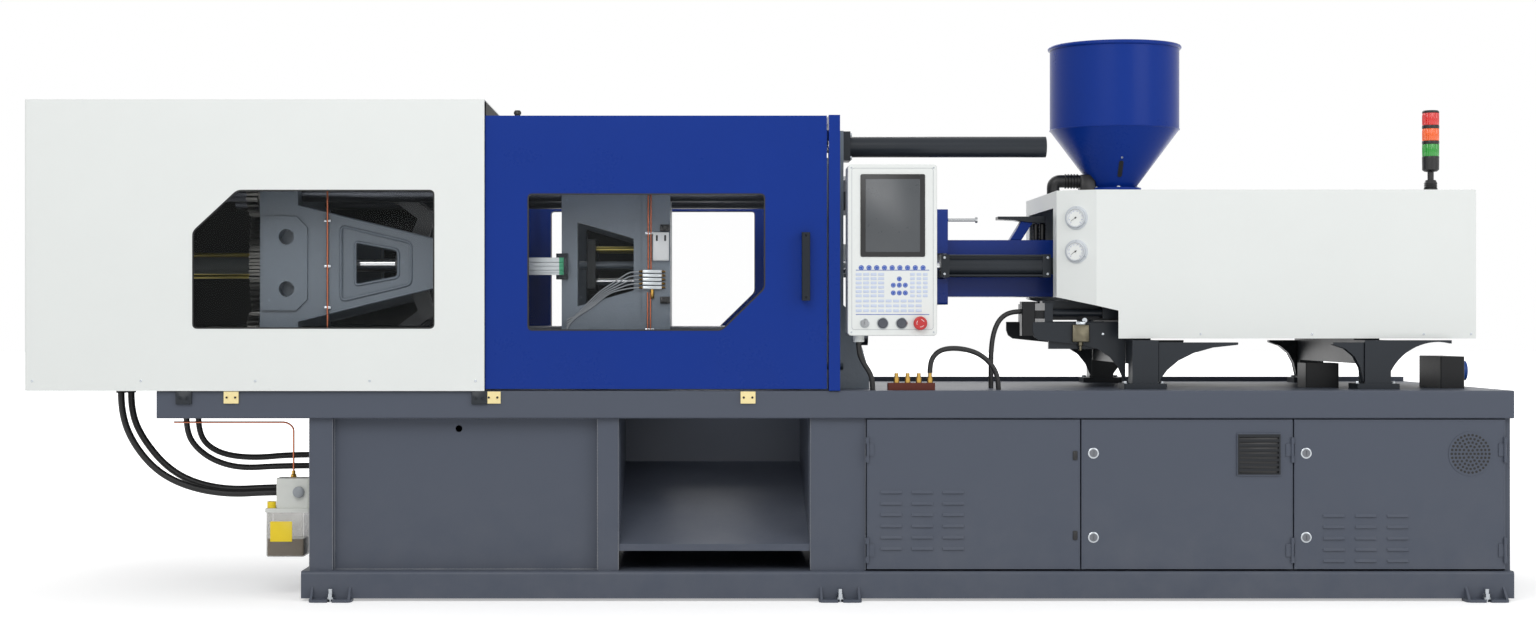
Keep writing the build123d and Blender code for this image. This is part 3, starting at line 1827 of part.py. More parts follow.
def lube_reservoir():
    """The clear oil reservoir under the pump's lid, open inside."""
    x0 = cabin_left - pump_lid_reach + bowl_edge
    x1 = cabin_left - bowl_gap
    y0 = pump_side - pump_lid_front + bowl_edge
    y1 = pump_side + pump_lid_back - bowl_edge
    low = pump_low - bowl_tall
    outer = block(x0, x1, y0, y1, low, pump_low)
    outer = fillet(outer.edges().filter_by(Axis.Z), bowl_round)
    outer = fillet(outer.edges().group_by(Axis.Z)[0], bowl_foot_round)
    t = bowl_wall
    return outer - block(x0 + t, x1 - t, y0 + t, y1 - t, low + t, pump_low + 1)


# Injection unit


def base_flare(x):
    """The curved bracket behind a rear foot of the base, swept up to a thin tip."""
    root = x - 1
    tip_x = x + flare_reach
    tip_z = foot_bar_top - flare_tip
    foot_z = bed_top + flare_foot
    waist_along, waist_drop = flare_waist
    outline = Polyline((root, foot_z), (root, foot_bar_top), (tip_x, foot_bar_top), (tip_x, tip_z))
    outline += ThreePointArc((tip_x, tip_z), (x + waist_along, foot_bar_top - waist_drop), (root, foot_z))
    turned = Plane(origin=(0, flare_in - foot_reach, 0), x_dir=(1, 0, 0), z_dir=(0, -1, 0))
    return extrude(turned * make_face(outline), amount=flare_thick)


def injection_base():
    """The black base: two beams, end plates, slide rods and four feet on the bed."""
    pieces = []
    beam_out = base_beam_in + base_beam_width
    beam = block(base_left, base_right, -beam_out, -base_beam_in, base_beam_low, base_beam_high)
    pieces += both_sides(beam)
    end = base_end_half
    end_z = (base_beam_low - base_end_down, base_beam_high - base_end_below)
    for x in (base_left, base_right - base_end_thick):
        pieces.append(block(x, x + base_end_thick, -end, end, *end_z))
    bar_low = foot_bar_top - foot_bar
    plate_top = bed_top + foot_plate
    spread = foot_plate_spread
    for x0 in (foot_front_x, foot_rear_x):
        x1 = x0 + foot_width
        pieces.append(block(x0, x1, -foot_reach, foot_reach, bar_low, foot_bar_top))
        pieces.append(block(x0, x1, -end, end, bar_low, base_beam_low + 1))
        foot_in = foot_depth - foot_reach
        pieces += both_sides(block(x0, x1, -foot_reach, foot_in, plate_top - 1, foot_bar_top - 1))
        plate_y = (-foot_reach - foot_plate_out, foot_in + spread)
        ground = block(x0 - spread, x1 + spread, *plate_y, bed_top, plate_top)
        pieces += both_sides(fillet(ground.edges().filter_by(Axis.Z), foot_plate_round))
    pieces += both_sides(base_flare(foot_rear_x + foot_width))
    for sy in (-1, 1):
        pieces.append(rod_x(base_left, base_right, sy * slide_rod_side, slide_rod_z, slide_rod_radius))
    stay_z = (base_beam_low - stay_low, base_beam_low - stay_high)
    pieces.append(block(stay_left, stay_right, -end, stay_thick - end, *stay_z))
    post_low = base_beam_low - stay_post_low
    post_x = base_left + base_end_thick
    pieces.append(block(stay_left, post_x, -end, stay_post_width - end, post_low, base_beam_low))
    return all_of(pieces)


def seat_cylinder(sy):
    """One seat cylinder with its caps, tie rods and arm, and the cutters for its bores."""
    y = sy * seat_cylinder_side
    z = seat_cylinder_z
    left = seat_cylinder_left
    right = left + seat_cylinder_length
    half = seat_cap_half
    pieces = [rod_x(left, right, y, z, seat_cylinder_radius)]
    for x in (left, right - seat_cap):
        pieces.append(block(x, x + seat_cap, y - half, y + half, z - half, z + half))
    for dy in (-seat_tie_off, seat_tie_off):
        for dz in (-seat_tie_off, seat_tie_off):
            pieces.append(rod_x(left, right, y + dy, z + dz, seat_tie_radius))
    arm = seat_arm_half
    pieces.append(block(right - 1, carriage_left + seat_arm_width, y - arm, y + arm, z - arm, z + arm))
    plate_high = base_beam_high + face_gap + carriage_plate
    y0, y1 = sorted((sy * seat_arm_in, sy * (seat_cylinder_side + arm)))
    pieces.append(block(carriage_left, carriage_left + seat_arm_width, y0, y1, plate_high - 1, z + arm + 1))
    cap_in = left + seat_cap
    cutters = [
        rod_x(cap_in - seat_bore_start, right - seat_bore_end, y, z, seat_bore),
        rod_x(left, cap_in, y, z, seat_rod_radius + running_gap),
    ]
    return pieces, cutters


def carriage():
    """The carriage: base plate on the slide rods, barrel holder, throat, ram rods and seat cylinders."""
    plate_low = base_beam_high + face_gap
    plate_high = plate_low + carriage_plate
    side = carriage_half
    plate = block(carriage_left, carriage_right, -side, side, plate_low, plate_high)
    holder_right = carriage_left + holder_length
    holder = block(carriage_left, holder_right, -holder_half, holder_half, plate_high - 1, holder_high)
    holder = fillet(holder.edges().filter_by(Axis.X).sort_by(Axis.Z)[-2:], holder_round)
    throat_top = hopper_foot - hopper_flange_thick
    throat = rod_z(holder_high - 1, throat_top, hopper_x, 0, throat_radius)
    pieces = [plate, holder, throat]
    rod_end = ram_left + ram_thick + ram_stroke + ram_rod_over
    shoe_y = (-slide_rod_side - carriage_shoe_half, -slide_rod_side + carriage_shoe_half)
    shoe_z = (slide_rod_z - carriage_shoe_low, plate_low + 1)
    last_shoe = carriage_right - carriage_shoe_end - carriage_shoe_length
    for x in (carriage_left + carriage_shoe_start, last_shoe):
        pieces += both_sides(block(x, x + carriage_shoe_length, *shoe_y, *shoe_z))
    pieces += both_sides(rod_x(holder_right - 1, rod_end, -ram_rod_offset, axis_z, ram_rod_radius))
    for x in cover_arm_places:
        arm_y = (cover_sheet - cover_front, 1 - side)
        pieces += both_sides(block(x, x + cover_arm_width, *arm_y, plate_low, plate_high))
    cutters = [
        rod_x(carriage_left, holder_right, 0, axis_z, barrel_radius),
        rod_z(axis_z, hopper_foot, hopper_x, 0, throat_bore),
    ]
    for sy in (-1, 1):
        seat_pieces, seat_cutters = seat_cylinder(sy)
        pieces += seat_pieces
        cutters += seat_cutters
        rod_bore = slide_rod_radius + running_gap
        y = sy * slide_rod_side
        cutters.append(rod_x(carriage_left - 1, carriage_right + 1, y, slide_rod_z, rod_bore))
    body = all_of(pieces)
    for cutter in cutters:
        body -= cutter
    return body


def seat_rods():
    """The two rods that pull the carriage to the fixed platen, with their pistons."""
    rods = []
    piston_x = seat_cylinder_left + seat_cylinder_length - seat_piston_back
    z = seat_cylinder_z
    for sy in (-1, 1):
        y = sy * seat_cylinder_side
        rod = rod_x(fixed_back, piston_x, y, z, seat_rod_radius)
        rod += rod_x(piston_x - seat_piston_length, piston_x, y, z, seat_bore - running_gap)
        rod += rod_x(fixed_back, fixed_back + seat_rod_flange_thick, y, z, seat_rod_flange)
        rods.append(rod)
    return group(rods)


def barrel():
    """The heated barrel with its nozzle and the feed hole under the throat."""
    head_right = barrel_left + barrel_head_length
    right = carriage_left + holder_length
    body = rod_x(head_right, right, 0, axis_z, barrel_radius)
    head = rod_x(barrel_left, head_right, 0, axis_z, barrel_radius - barrel_head_step)
    taper_right = nozzle_tip_x + nozzle_taper
    nozzle = rod_x(taper_right, barrel_left, 0, axis_z, nozzle_radius)
    taper_place = Pos(nozzle_tip_x + nozzle_taper / 2, 0, axis_z) * Rot(0, 90, 0)
    taper = taper_place * Cone(nozzle_tip_radius, nozzle_radius, nozzle_taper)
    body = all_of(body, head, nozzle, taper)
    bore_x = barrel_left + bore_start
    body -= rod_x(bore_x, right, 0, axis_z, screw_bore)
    body -= rod_x(nozzle_tip_x, bore_x, 0, axis_z, nozzle_hole)
    return body - rod_z(axis_z, axis_z + barrel_radius, hopper_x, 0, throat_bore - feed_hole_step)


def screw():
    """The plasticising screw with a conical tip, reaching back into the motor coupling."""
    radius = screw_bore - screw_gap
    tip_x = barrel_left + screw_tip_back
    shank_x = tip_x + screw_tip_length
    body = rod_x(shank_x, ram_left + ram_thick / 2, 0, axis_z, radius)
    tip_place = Pos(tip_x + screw_tip_length / 2, 0, axis_z) * Rot(0, 90, 0)
    return body + tip_place * Cone(screw_tip_radius, radius, screw_tip_length)


def injection_ram():
    """The ram plate that pushes the screw, with the hydraulic motor behind it."""
    x1 = ram_left + ram_thick
    half = ram_half
    body = block(ram_left, x1, -half, half, axis_z - ram_low, axis_z + ram_high)
    body = fillet(body.edges().filter_by(Axis.X), ram_round)
    body += rod_x(x1, x1 + motor_length, 0, axis_z, motor_radius)
    port_x = x1 + motor_port_start
    port = motor_port_half
    body += block(port_x, port_x + motor_port_length, -port, port, axis_z, axis_z + motor_port_rise)
    coupling_bore = screw_bore - screw_gap + running_gap
    body -= rod_x(ram_left, ram_left + ram_thick / 2 + face_gap, 0, axis_z, coupling_bore)
    for sy in (-1, 1):
        body -= rod_x(ram_left, x1, sy * ram_rod_offset, axis_z, ram_rod_radius + running_gap)
    return body


def barrel_cover():
    """The blue barrel cover and the purge guard at its front end."""
    t = cover_box_wall
    half = cover_box_half
    low = cover_box_low
    high = cover_box_high
    x0 = guard_box_left + guard_box_width
    x1 = cover_box_right
    shell = block(x0 - t, x1, -half, half, low, high)
    shell -= block(x0 - t - 1, x1 + 1, -half + t, half - t, low + t, high - t)
    side = guard_box_half
    box = block(guard_box_left, x0, -side, side, guard_box_low, guard_box_high)
    box = fillet(box.edges().filter_by(Axis.X), guard_box_round)
    box_z = (guard_box_low + t, guard_box_high - t)
    box -= block(guard_box_left - 1, x0 - t, t - side, side - t, *box_z)
    box -= rod_x(guard_box_left, x0, 0, axis_z, barrel_radius + barrel_clear)
    gap = seat_cap_half + seat_cap_clear
    for sy in (-1, 1):
        y = sy * seat_cylinder_side
        gap_z = (seat_cylinder_z - gap, seat_cylinder_z + gap)
        box -= block(guard_box_left - 1, x0 + 1, y - gap, y + gap, *gap_z)
    rear_lip = block(x1 - t, x1, -half, half, low, high) - rod_x(x1 - t, x1, 0, axis_z, barrel_radius)
    front_lip = block(x0 - t, x0, -half, half, low, high)
    front_lip -= rod_x(x0 - t, x0, 0, axis_z, barrel_radius + barrel_clear)
    pin_end = x0 + purge_pin_length
    pin = rod_x(x0 - t, pin_end, purge_pin_side, purge_pin_z, purge_pin_radius)
    head_x = pin_end - purge_pin_head_thick + 2
    pin += rod_x(head_x, pin_end + 2, purge_pin_side, purge_pin_z, purge_pin_head)
    return all_of(shell, box, rear_lip, front_lip, pin)


def hopper():
    """The blue hopper: a turned shell with a rolled rim, a cone and a foot flange."""
    r = hopper_radius
    t = hopper_wall
    profile = Polyline(
        (hopper_neck, hopper_foot),
        (r, hopper_shoulder),
        (r, hopper_top),
        (r - t, hopper_top),
        (r - t, hopper_shoulder + 1),
        (hopper_neck - t, hopper_foot),
        close=True,
    )
    plane = Plane(origin=(hopper_x, 0, 0), x_dir=(1, 0, 0), z_dir=(0, -1, 0))
    shell = revolve(plane * make_face(profile), Axis((hopper_x, 0, 0), (0, 0, 1)), 360)
    rim = Pos(hopper_x, 0, hopper_top) * Torus(r, hopper_rim)
    flange_low = hopper_foot - hopper_flange_thick
    flange = rod_z(flange_low, hopper_foot, hopper_x, 0, hopper_flange_radius)
    flange -= rod_z(flange_low, hopper_foot, hopper_x, 0, throat_bore)
    seam_x = (hopper_x - hopper_seam_half, hopper_x + hopper_seam_half)
    seam_z = (hopper_shoulder + hopper_seam_low, hopper_top - hopper_seam_high)
    seam = block(*seam_x, r - 1, r + hopper_seam_out, *seam_z)
    return all_of(shell, rim, flange, seam)


def cover_plan(inset):
    """The cover's outline from above, moved inwards by the sheet."""
    y = cover_front - inset
    x_end = cover_right - inset
    x0 = cover_left + inset
    back = y - cover_fold_in
    return ((x0, -back), (cover_fold, -y), (x_end, -y), (x_end, y), (cover_fold, y), (x0, back))


def injection_cover():
    """The white cover of the injection unit, with its folded left face and stepped lower edge."""
    y = cover_front
    t = cover_sheet
    shell = plate_xy(cover_plan(0), cover_low, cover_top)
    shell -= plate_xy(cover_plan(t), cover_low - 1, cover_top - t)
    step = (
        (cover_left - 10, cover_low - 1),
        (cover_step_x, cover_low - 1),
        (cover_step_x, cover_step_low),
        (cover_left - 10, cover_step),
    )
    shell -= plate_xz(step, -y - 1, y + 1)
    gap = cover_end_gap_half
    gap_z = (cover_step - cover_end_gap_low, cover_top - cover_end_gap_high)
    shell -= block(cover_left - 1, cover_left + t + 1, -gap, gap, *gap_z)
    return shell - rod_z(cover_top - t - 1, cover_top + 1, hopper_x, 0, cover_hole)


def gauges():
    """Two round pressure gauges on the cover's folded face."""
    angle = math.atan2(cover_fold_in, cover_fold - cover_left)
    mid_x = (cover_left + cover_fold) / 2
    mid_y = cover_fold_in / 2 - cover_front
    dials = []
    for rise in gauge_rises:
        place = Plane(
            origin=(mid_x, mid_y, axis_z + rise),
            x_dir=(math.cos(angle), -math.sin(angle), 0),
            z_dir=(-math.sin(angle), -math.cos(angle), 0),
        )
        body = extrude(place * Circle(gauge_radius), amount=gauge_depth)
        dial = place.offset(gauge_depth - gauge_sink) * Circle(gauge_radius - gauge_rim)
        dials.append(body - extrude(dial, amount=gauge_sink))
    return group(dials)


def signal_light():
    """The signal light: base, stem, a black module and three coloured ones."""
    neck = light_radius - light_ring_step
    sections = [(light_base, light_base_radius), (light_stem, light_stem_radius)]
    sections += [(light_module, light_radius)]
    sections += [(light_ring, neck), (light_module, light_radius)] * light_colours
    sections.append((light_cap, neck))
    z = cover_top
    parts = []
    for tall, radius in sections:
        parts.append(rod_z(z, z + tall, light_x, light_y, radius))
        z += tall
    return all_of(parts)


# Cabinet doors


def cabinet_edges(n):
    """Left and right side of one cabinet door."""
    left = cabinet_left + sum(cabinet_doors[:n]) + cabinet_gap * n
    return left, left + cabinet_doors[n]


def cabinet_hinge(n):
    """X of the hinge axis and the side the door opens to."""
    left, right = cabinet_edges(n)
    return (left + hinge_in, -1) if n == 0 else (right - hinge_in, 1)


def hinge_heights():
    """Middle heights of the lower and the upper hinge."""
    return cabinet_low + hinge_low, cabinet_high - hinge_drop


def bed_hinges(n):
    """The bed's knuckles, leaves and pins for one cabinet door, one solid per hinge."""
    x, side = cabinet_hinge(n)
    edge = cabinet_edges(n)[0 if side < 0 else 1]
    near = edge + side * hinge_leaf_gap
    far = edge + side * hinge_leaf_reach[n]
    y = -cabinet_front - hinge_out
    hinges = []
    for z in hinge_heights():
        above = z + hinge_half + face_gap
        below = z - hinge_half - face_gap - hinge_knuckle
        parts = [rod_z(below, above + hinge_knuckle, x, y, hinge_pin)]
        for low in (above, below):
            high = low + hinge_knuckle
            parts.append(rod_z(low, high, x, y, hinge_radius))
            parts.append(block(near, far, y - hinge_leaf_front, hinge_leaf_back, low, high))
        hinges.append(all_of(parts))
    return hinges


def louvres(columns, rows):
    """Pressed louvres as short raised bars."""
    y = -cabinet_front
    bars = []
    for x in columns:
        for z in rows:
            section = ((y + 1, z), (y - louvre_out, z), (y + 1, z + louvre_height))
            bars.append(plate_yz(section, x, x + louvre_length))
    return bars


def grille(left):
    """The slotted ventilation grille of the middle door and the cutters for its slots."""
    y = -cabinet_front
    x0 = left + grille_in
    x1 = x0 + grille_width
    high = cabinet_high - grille_drop
    low = high - grille_tall
    plate = block(x0, x1, y - grille_out, y + 1, low, high)
    slots = []
    for k in range(grille_slots):
        z = low + grille_edge + grille_slot_pitch * k
        slot_y = (y - grille_out - 1, y - grille_out + grille_slot_depth)
        slots.append(block(x0 + grille_edge, x1 - grille_edge, *slot_y, z, z + grille_slot_tall))
    return plate, slots


def cabinet_door(n):
    """A cabinet door with its hinge knuckles, folded edge and louvres, grille or round vent."""
    left, right = cabinet_edges(n)
    y = -cabinet_front
    t = cabinet_sheet
    body = block(left, right, y, y + cabinet_thick, cabinet_low, cabinet_high)
    body = fillet(body.edges().filter_by(Axis.Z).sort_by(Axis.Y)[:2], cabinet_edge_round)
    body -= block(left + t, right - t, y + t, y + cabinet_thick + 1, cabinet_low + t, cabinet_high - t)
    hinge_x, side = cabinet_hinge(n)
    for z in hinge_heights():
        z0 = z - hinge_half
        z1 = z + hinge_half
        body += rod_z(z0, z1, hinge_x, y - hinge_out, hinge_radius)
        body += block(hinge_x, hinge_x - side * hinge_half, y - hinge_plate, y + 1, z0, z1)
        body -= rod_z(z0, z1, hinge_x, y - hinge_out, hinge_pin + running_gap)
    if n == 0:
        columns = [left + first_louvre_in + first_louvre_step * k for k in range(first_louvre_columns)]
        rows = [cabinet_low + first_louvre_low + louvre_pitch * k for k in range(first_louvre_rows)]
        body = all_of(body, louvres(columns, rows))
    if n == 1:
        plate, slots = grille(left)
        body += plate
        for slot in slots:
            body -= slot
    if n == 2:
        columns = [left + third_louvre_in + third_louvre_step * k for k in range(third_louvre_columns)]
        rows = [cabinet_low + third_louvre_low + louvre_pitch * k for k in range(third_louvre_rows)]
        body = all_of(body, louvres(columns, rows))
        body += rod_y(y - vent_out, y + 1, left + vent_in, cabinet_high - vent_drop, vent_radius)
    for x, z in lock_places(n):
        body -= rod_y(y - vent_out, y + lock_sink, x, z, lock_radius + running_gap)
    return body


def lock_places(n):
    """X and Z of the quarter-turn locks in a door."""
    if n == 0:
        return []
    x = cabinet_edges(n)[0] + lock_inset
    return [(x, cabinet_high - lock_drop), (x, cabinet_low + lock_low)]


def cabinet_lock(n, k):
    """A quarter-turn lock with its slotted head and the tongue behind the door."""
    x, z = lock_places(n)[k]
    front = -cabinet_front - lock_out
    back = front + lock_length
    head = rod_y(front, back, x, z, lock_radius)
    slot_x = (x - lock_slot_half, x + lock_slot_half)
    slot_z = (z - lock_slot_reach, z + lock_slot_reach)
    head -= block(*slot_x, front - 1, front + lock_slot_depth, *slot_z)
    tongue_x = (x - lock_inset + tongue_back, x + tongue_tail)
    tongue_y = (back - 1, back - 1 + tongue_thick)
    return head + block(*tongue_x, *tongue_y, z - tongue_half, z + tongue_half)


# Hoses, along hand-placed points


def hose(points, radius_hose, name):
    """A round hose along hand-placed points with arcs between the straight runs."""
    vectors = [Vector(*p) for p in points]
    radii = []
    for n in range(1, len(vectors) - 1):
        a = vectors[n] - vectors[n - 1]
        b = vectors[n + 1] - vectors[n]
        turn = math.radians(a.get_angle(b))
        shorter = min(a.length, b.length)
        radii.append(0.45 * shorter / math.tan(turn / 2))
    smallest = min(radii)
    print(name, "smallest bend radius", round(smallest, 1), "for a hose of", 2 * radius_hose)
    path = FilletPolyline(*vectors, radius=radii)
    start = Plane(origin=vectors[0], z_dir=(vectors[1] - vectors[0]))
    tube = sweep(start * Circle(radius_hose), path=path)
    section = math.pi * radius_hose**2
    print(name, "volume against section times length", round(tube.volume / (section * path.length), 4))
    return tube


def clamp_hose(n):
    """One hose of the clamp cylinder, from its gland under the guard to the bed's end wall."""
    x, y = clamp_hoses[n]
    lift = n * hose_lift
    return [
        (x, y, bed_height - guard_lap - gland_length),
        (x, y, 655),
        (x + 35, y, 550 + lift),
        (x + 120, y, 442 + lift),
        (-2110 + lift, y, 380 + lift),
        (-1960, y, 352 + lift),
        (-1800, y, 362 + lift),
        (cabin_left, y, 362 + lift),
    ]


def hoses():
    """All free hoses and cables of the machine, as one group of round tubes."""
    inner = [
        (-2125, -275, beam_low),
        (-2125, -275, 580),
        (-2093, -275, 520),
        (-2022, -275, 468),
        (-1922, -275, 442),
        (-1780, -275, 452),
        (cabin_left, -275, 452),
    ]
    conduit = [
        (-2090, -235, beam_low),
        (-2090, -235, 580),
        (-2058, -235, 522),
        (-1985, -235, 487),
        (-1875, -235, 478),
        (-1750, -235, 490),
        (cabin_left, -235, 490),
    ]
    gland_x = panel_left + panel_gland_in
    gland_y = panel_gland_back - panel_face
    panel = [
        (gland_x, gland_y, panel_low - panel_gland_length),
        (gland_x, gland_y, panel_low - 60),
        (gland_x + 18, gland_y + 3, panel_low - 98),
        (gland_x + 40, gland_y + 7, panel_low - 130),
        (gland_x + 50, gland_y + 9, panel_low - 160),
        (gland_x + 50, gland_y + 9, bed_height),
    ]
    nipple_x = manifold_left + nipple_start + (nipple_count - 1) * nipple_pitch
    nipple_y = manifold_depth / 2 - manifold_front
    nipple_top = bed_height + manifold_tall + nipple_base_tall + nipple_tall
    water = [
        (nipple_x, nipple_y, nipple_top),
        (nipple_x, nipple_y, nipple_top + 34),
        (584, -578, nipple_top + 68),
        (622, -574, nipple_top + 88),
        (690, -566, nipple_top + 86),
        (752, -558, nipple_top + 64),
        (796, -552, nipple_top + 20),
        (812, -550, nipple_top - 28),
        (812, -550, bed_height),
    ]
    box_x = base_left - limit_arm_reach - limit_box_width
    box_drop = [
        (box_x, -320, 1016),
        (890, -320, 1016),
        (850, -324, 994),
        (826, -330, 950),
        (814, -338, 890),
        (812, -344, 815),
        (812, -344, bed_height),
    ]
    return group(
        hose(clamp_hose(0), hose_radius, "clamp hose one"),
        hose(clamp_hose(1), hose_radius, "clamp hose two"),
        hose(inner, conduit_radius, "inner hose"),
        hose(conduit, conduit_radius, "conduit"),
        hose(panel, cable_radius, "panel conduit"),
        hose(water, cable_radius, "water hose"),
        hose(box_drop, cable_radius, "cable"),
    )


os.makedirs("parts", exist_ok=True)

nodes["bed_frame"] = bed_frame()
nodes["chute_tray"] = chute_tray()
nodes["levelling_feet"] = levelling_feet()
nodes["guide_blocks"] = guide_blocks()
nodes["tie_bars"] = tie_bars()
nodes["fixed_platen"] = fixed_platen()
nodes["safety_tube"] = safety_tube()
nodes["clamp_guard"] = clamp_guard()
nodes["clamp_panes"] = clamp_panes()
nodes["door_frame"] = door_frame()
nodes["front_door"] = group(safety_door(), door_handle())
nodes["front_pane"] = door_pane()
nodes["rear_door"] = group(safety_door().mirror(Plane.XZ), door_handle().mirror(Plane.XZ))
nodes["rear_pane"] = door_pane().mirror(Plane.XZ)
nodes["tail_platen"] = tail_platen()
nodes["clamp_cylinder"] = group(clamp_cylinder(), guide_rods())
nodes["ring_gear"] = ring_gear()
for number, (sy, sz) in enumerate(((-1, -1), (-1, 1), (1, -1), (1, 1)), start=1):
    nodes[f"height_nut_{number}"] = height_nut(sy, sz)
nodes["moving_platen"] = moving_platen()
nodes["safety_bar"] = safety_bar()
nodes["ejector"] = ejector()
nodes["crosshead"] = crosshead()
for side, sz in (("upper", 1), ("lower", -1)):
    nodes[f"rear_link_{side}"] = rear_link_node(sz)
    nodes[f"front_link_{side}"] = front_link_node(sz)
    nodes[f"cross_link_{side}"] = cross_link_node(sz)
nodes["control_panel"] = control_panel()
nodes["panel_face"] = panel_face_node()
nodes["push_button_1"] = push_button(0)
nodes["push_button_2"] = push_button(1)
nodes["emergency_stop"] = e_stop()
nodes["key_switch"] = key_switch()
nodes["hoses"] = hoses()
nodes["water_manifold"] = water_manifold()
nodes["junction_boxes"] = junction_boxes()
nodes["lube_pump"] = lube_pump()
nodes["lube_reservoir"] = lube_reservoir()
nodes["injection_base"] = injection_base()
nodes["carriage"] = carriage()
nodes["seat_rods"] = seat_rods()
nodes["barrel"] = barrel()
nodes["screw"] = screw()
nodes["injection_ram"] = injection_ram()
nodes["barrel_cover"] = barrel_cover()
nodes["hopper"] = hopper()
nodes["injection_cover"] = injection_cover()
nodes["gauges"] = gauges()
nodes["signal_light"] = signal_light()
for n in range(len(cabinet_doors)):
    nodes[f"cabinet_door_{n + 1}"] = cabinet_door(n)
for number, (n, k) in enumerate(((1, 0), (1, 1), (2, 0), (2, 1)), start=1):
    nodes[f"door_lock_{number}"] = cabinet_lock(n, k)

for name, shape in nodes.items():
    export_step(shape, f"parts/{name}.step")
print(len(nodes), "nodes")
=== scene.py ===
import json
import math

import bmesh
import bpy
import numpy as np
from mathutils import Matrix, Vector


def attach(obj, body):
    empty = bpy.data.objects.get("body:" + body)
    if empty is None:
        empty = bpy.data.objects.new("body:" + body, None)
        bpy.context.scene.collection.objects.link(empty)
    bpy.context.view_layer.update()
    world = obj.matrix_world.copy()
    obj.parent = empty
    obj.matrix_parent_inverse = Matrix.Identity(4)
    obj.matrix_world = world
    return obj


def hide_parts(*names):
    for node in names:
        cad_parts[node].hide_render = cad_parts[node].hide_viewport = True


# Injection moulding machine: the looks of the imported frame, in metres.
# The operator stands at -Y. The clamp end is at -X and the hopper end at +X.

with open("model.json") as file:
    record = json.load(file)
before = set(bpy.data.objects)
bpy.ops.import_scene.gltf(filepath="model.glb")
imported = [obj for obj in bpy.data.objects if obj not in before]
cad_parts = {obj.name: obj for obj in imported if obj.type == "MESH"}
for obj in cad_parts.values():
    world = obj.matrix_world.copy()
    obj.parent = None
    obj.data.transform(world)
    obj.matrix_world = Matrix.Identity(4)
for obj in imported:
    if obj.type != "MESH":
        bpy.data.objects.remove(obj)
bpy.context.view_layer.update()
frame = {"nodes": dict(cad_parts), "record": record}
nodes = frame["nodes"]

# Faces of the machine that several pieces sit on
bed_top = 0.738
bed_end = -1.617
axis_height = 1.190
guard_face = -0.655
door_face = -0.644
panel_face = -0.655
panel_left = 0.2716
panel_top = 1.530
cover_side = 0.450
cover_top = 1.4535
barrel_bracket_top = 1.2835

# Directions
to_front = (0, -1, 0)
to_rear = (0, 1, 0)
to_right = (1, 0, 0)
upwards = (0, 0, 1)
downwards = (0, 0, -1)
both_sides = (-1, 1)


# Camera and lamps


def make_camera():
    """A camera near the height of the lower window edges, looking straight along +Y."""
    data = bpy.data.cameras.new("camera")
    data.sensor_width = 36
    data.lens = 53.6
    data.shift_x = 0.0475
    data.clip_end = 100
    camera = bpy.data.objects.new("camera", data)
    camera.location = (-0.2625, -8.65, 0.987)
    camera.rotation_euler = (math.radians(90), 0, 0)
    bpy.context.scene.collection.objects.link(camera)
    bpy.context.scene.camera = camera


def make_lamp(name, place, aim, size, power):
    """A large square soft lamp at place, turned towards aim."""
    data = bpy.data.lights.new(name, "AREA")
    data.shape = "SQUARE"
    data.size = size
    data.energy = power
    lamp = bpy.data.objects.new(name, data)
    lamp.location = place
    lamp.rotation_euler = (Vector(aim) - Vector(place)).to_track_quat("-Z", "Y").to_euler()
    bpy.context.scene.collection.objects.link(lamp)


make_camera()
bpy.context.scene.view_settings.view_transform = "Standard"


# Mesh tools: every shape is worked out as whole arrays


def grid_quads(rows, columns, wrap_rows=False, wrap_columns=True):
    """Quads between the neighbours of a rows by columns grid of points."""
    i = np.arange(rows if wrap_rows else rows - 1)
    j = np.arange(columns if wrap_columns else columns - 1)
    a, b = np.meshgrid(i, j, indexing="ij")
    a2 = (a + 1) % rows
    b2 = (b + 1) % columns
    quads = np.stack([a * columns + b, a2 * columns + b, a2 * columns + b2, a * columns + b2], -1)
    return quads.reshape(-1, 4)


def capped_quads(rows, columns):
    """The quads of a grid of rings, with a flat cap on its first and its last ring."""
    last = (rows - 1) * columns
    caps = [list(range(columns)), list(range(last, last + columns))]
    return grid_quads(rows, columns).tolist() + caps


def across(axis):
    """Two unit directions square to an axis and to each other."""
    axis = np.array(axis, float) / np.linalg.norm(axis)
    helper = np.array((0, 0, 1.0)) if abs(axis[2]) < 0.9 else np.array((1.0, 0, 0))
    u = np.cross(helper, axis)
    u /= np.linalg.norm(u)
    return axis, u, np.cross(axis, u)


def turned(profile, foot, axis, sides=32):
    """Profile points (radius r, height h) round an axis: foot + h*axis + r*(cos t*u + sin t*v)."""
    axis, u, v = across(axis)
    profile = np.array(profile, float)
    t = np.linspace(0, 2 * np.pi, sides, endpoint=False)
    ring = np.cos(t)[:, None] * u + np.sin(t)[:, None] * v
    points = np.array(foot) + profile[:, 1, None, None] * axis + profile[:, 0, None, None] * ring
    return points.reshape(-1, 3), grid_quads(len(profile), sides)


def swept(path, radius, sides=12):
    """A circle of one radius carried along a path, closed at both ends by a ring of no radius."""
    path = np.array(path, float)
    run = np.gradient(path, axis=0)
    run /= np.linalg.norm(run, axis=1)[:, None]
    helpers = np.eye(3)
    helper = helpers[np.argmin(np.abs(run @ helpers).max(0))]
    u = np.cross(run, helper)
    u /= np.linalg.norm(u, axis=1)[:, None]
    v = np.cross(run, u)
    t = np.linspace(0, 2 * np.pi, sides, endpoint=False)
    ring = np.cos(t)[None, :, None] * u[:, None] + np.sin(t)[None, :, None] * v[:, None]
    points = path[:, None] + radius * ring
    first = np.repeat(path[:1, None], sides, 1)
    last = np.repeat(path[-1:, None], sides, 1)
    points = np.concatenate([first, points, last])
    return points.reshape(-1, 3), grid_quads(len(path) + 2, sides)


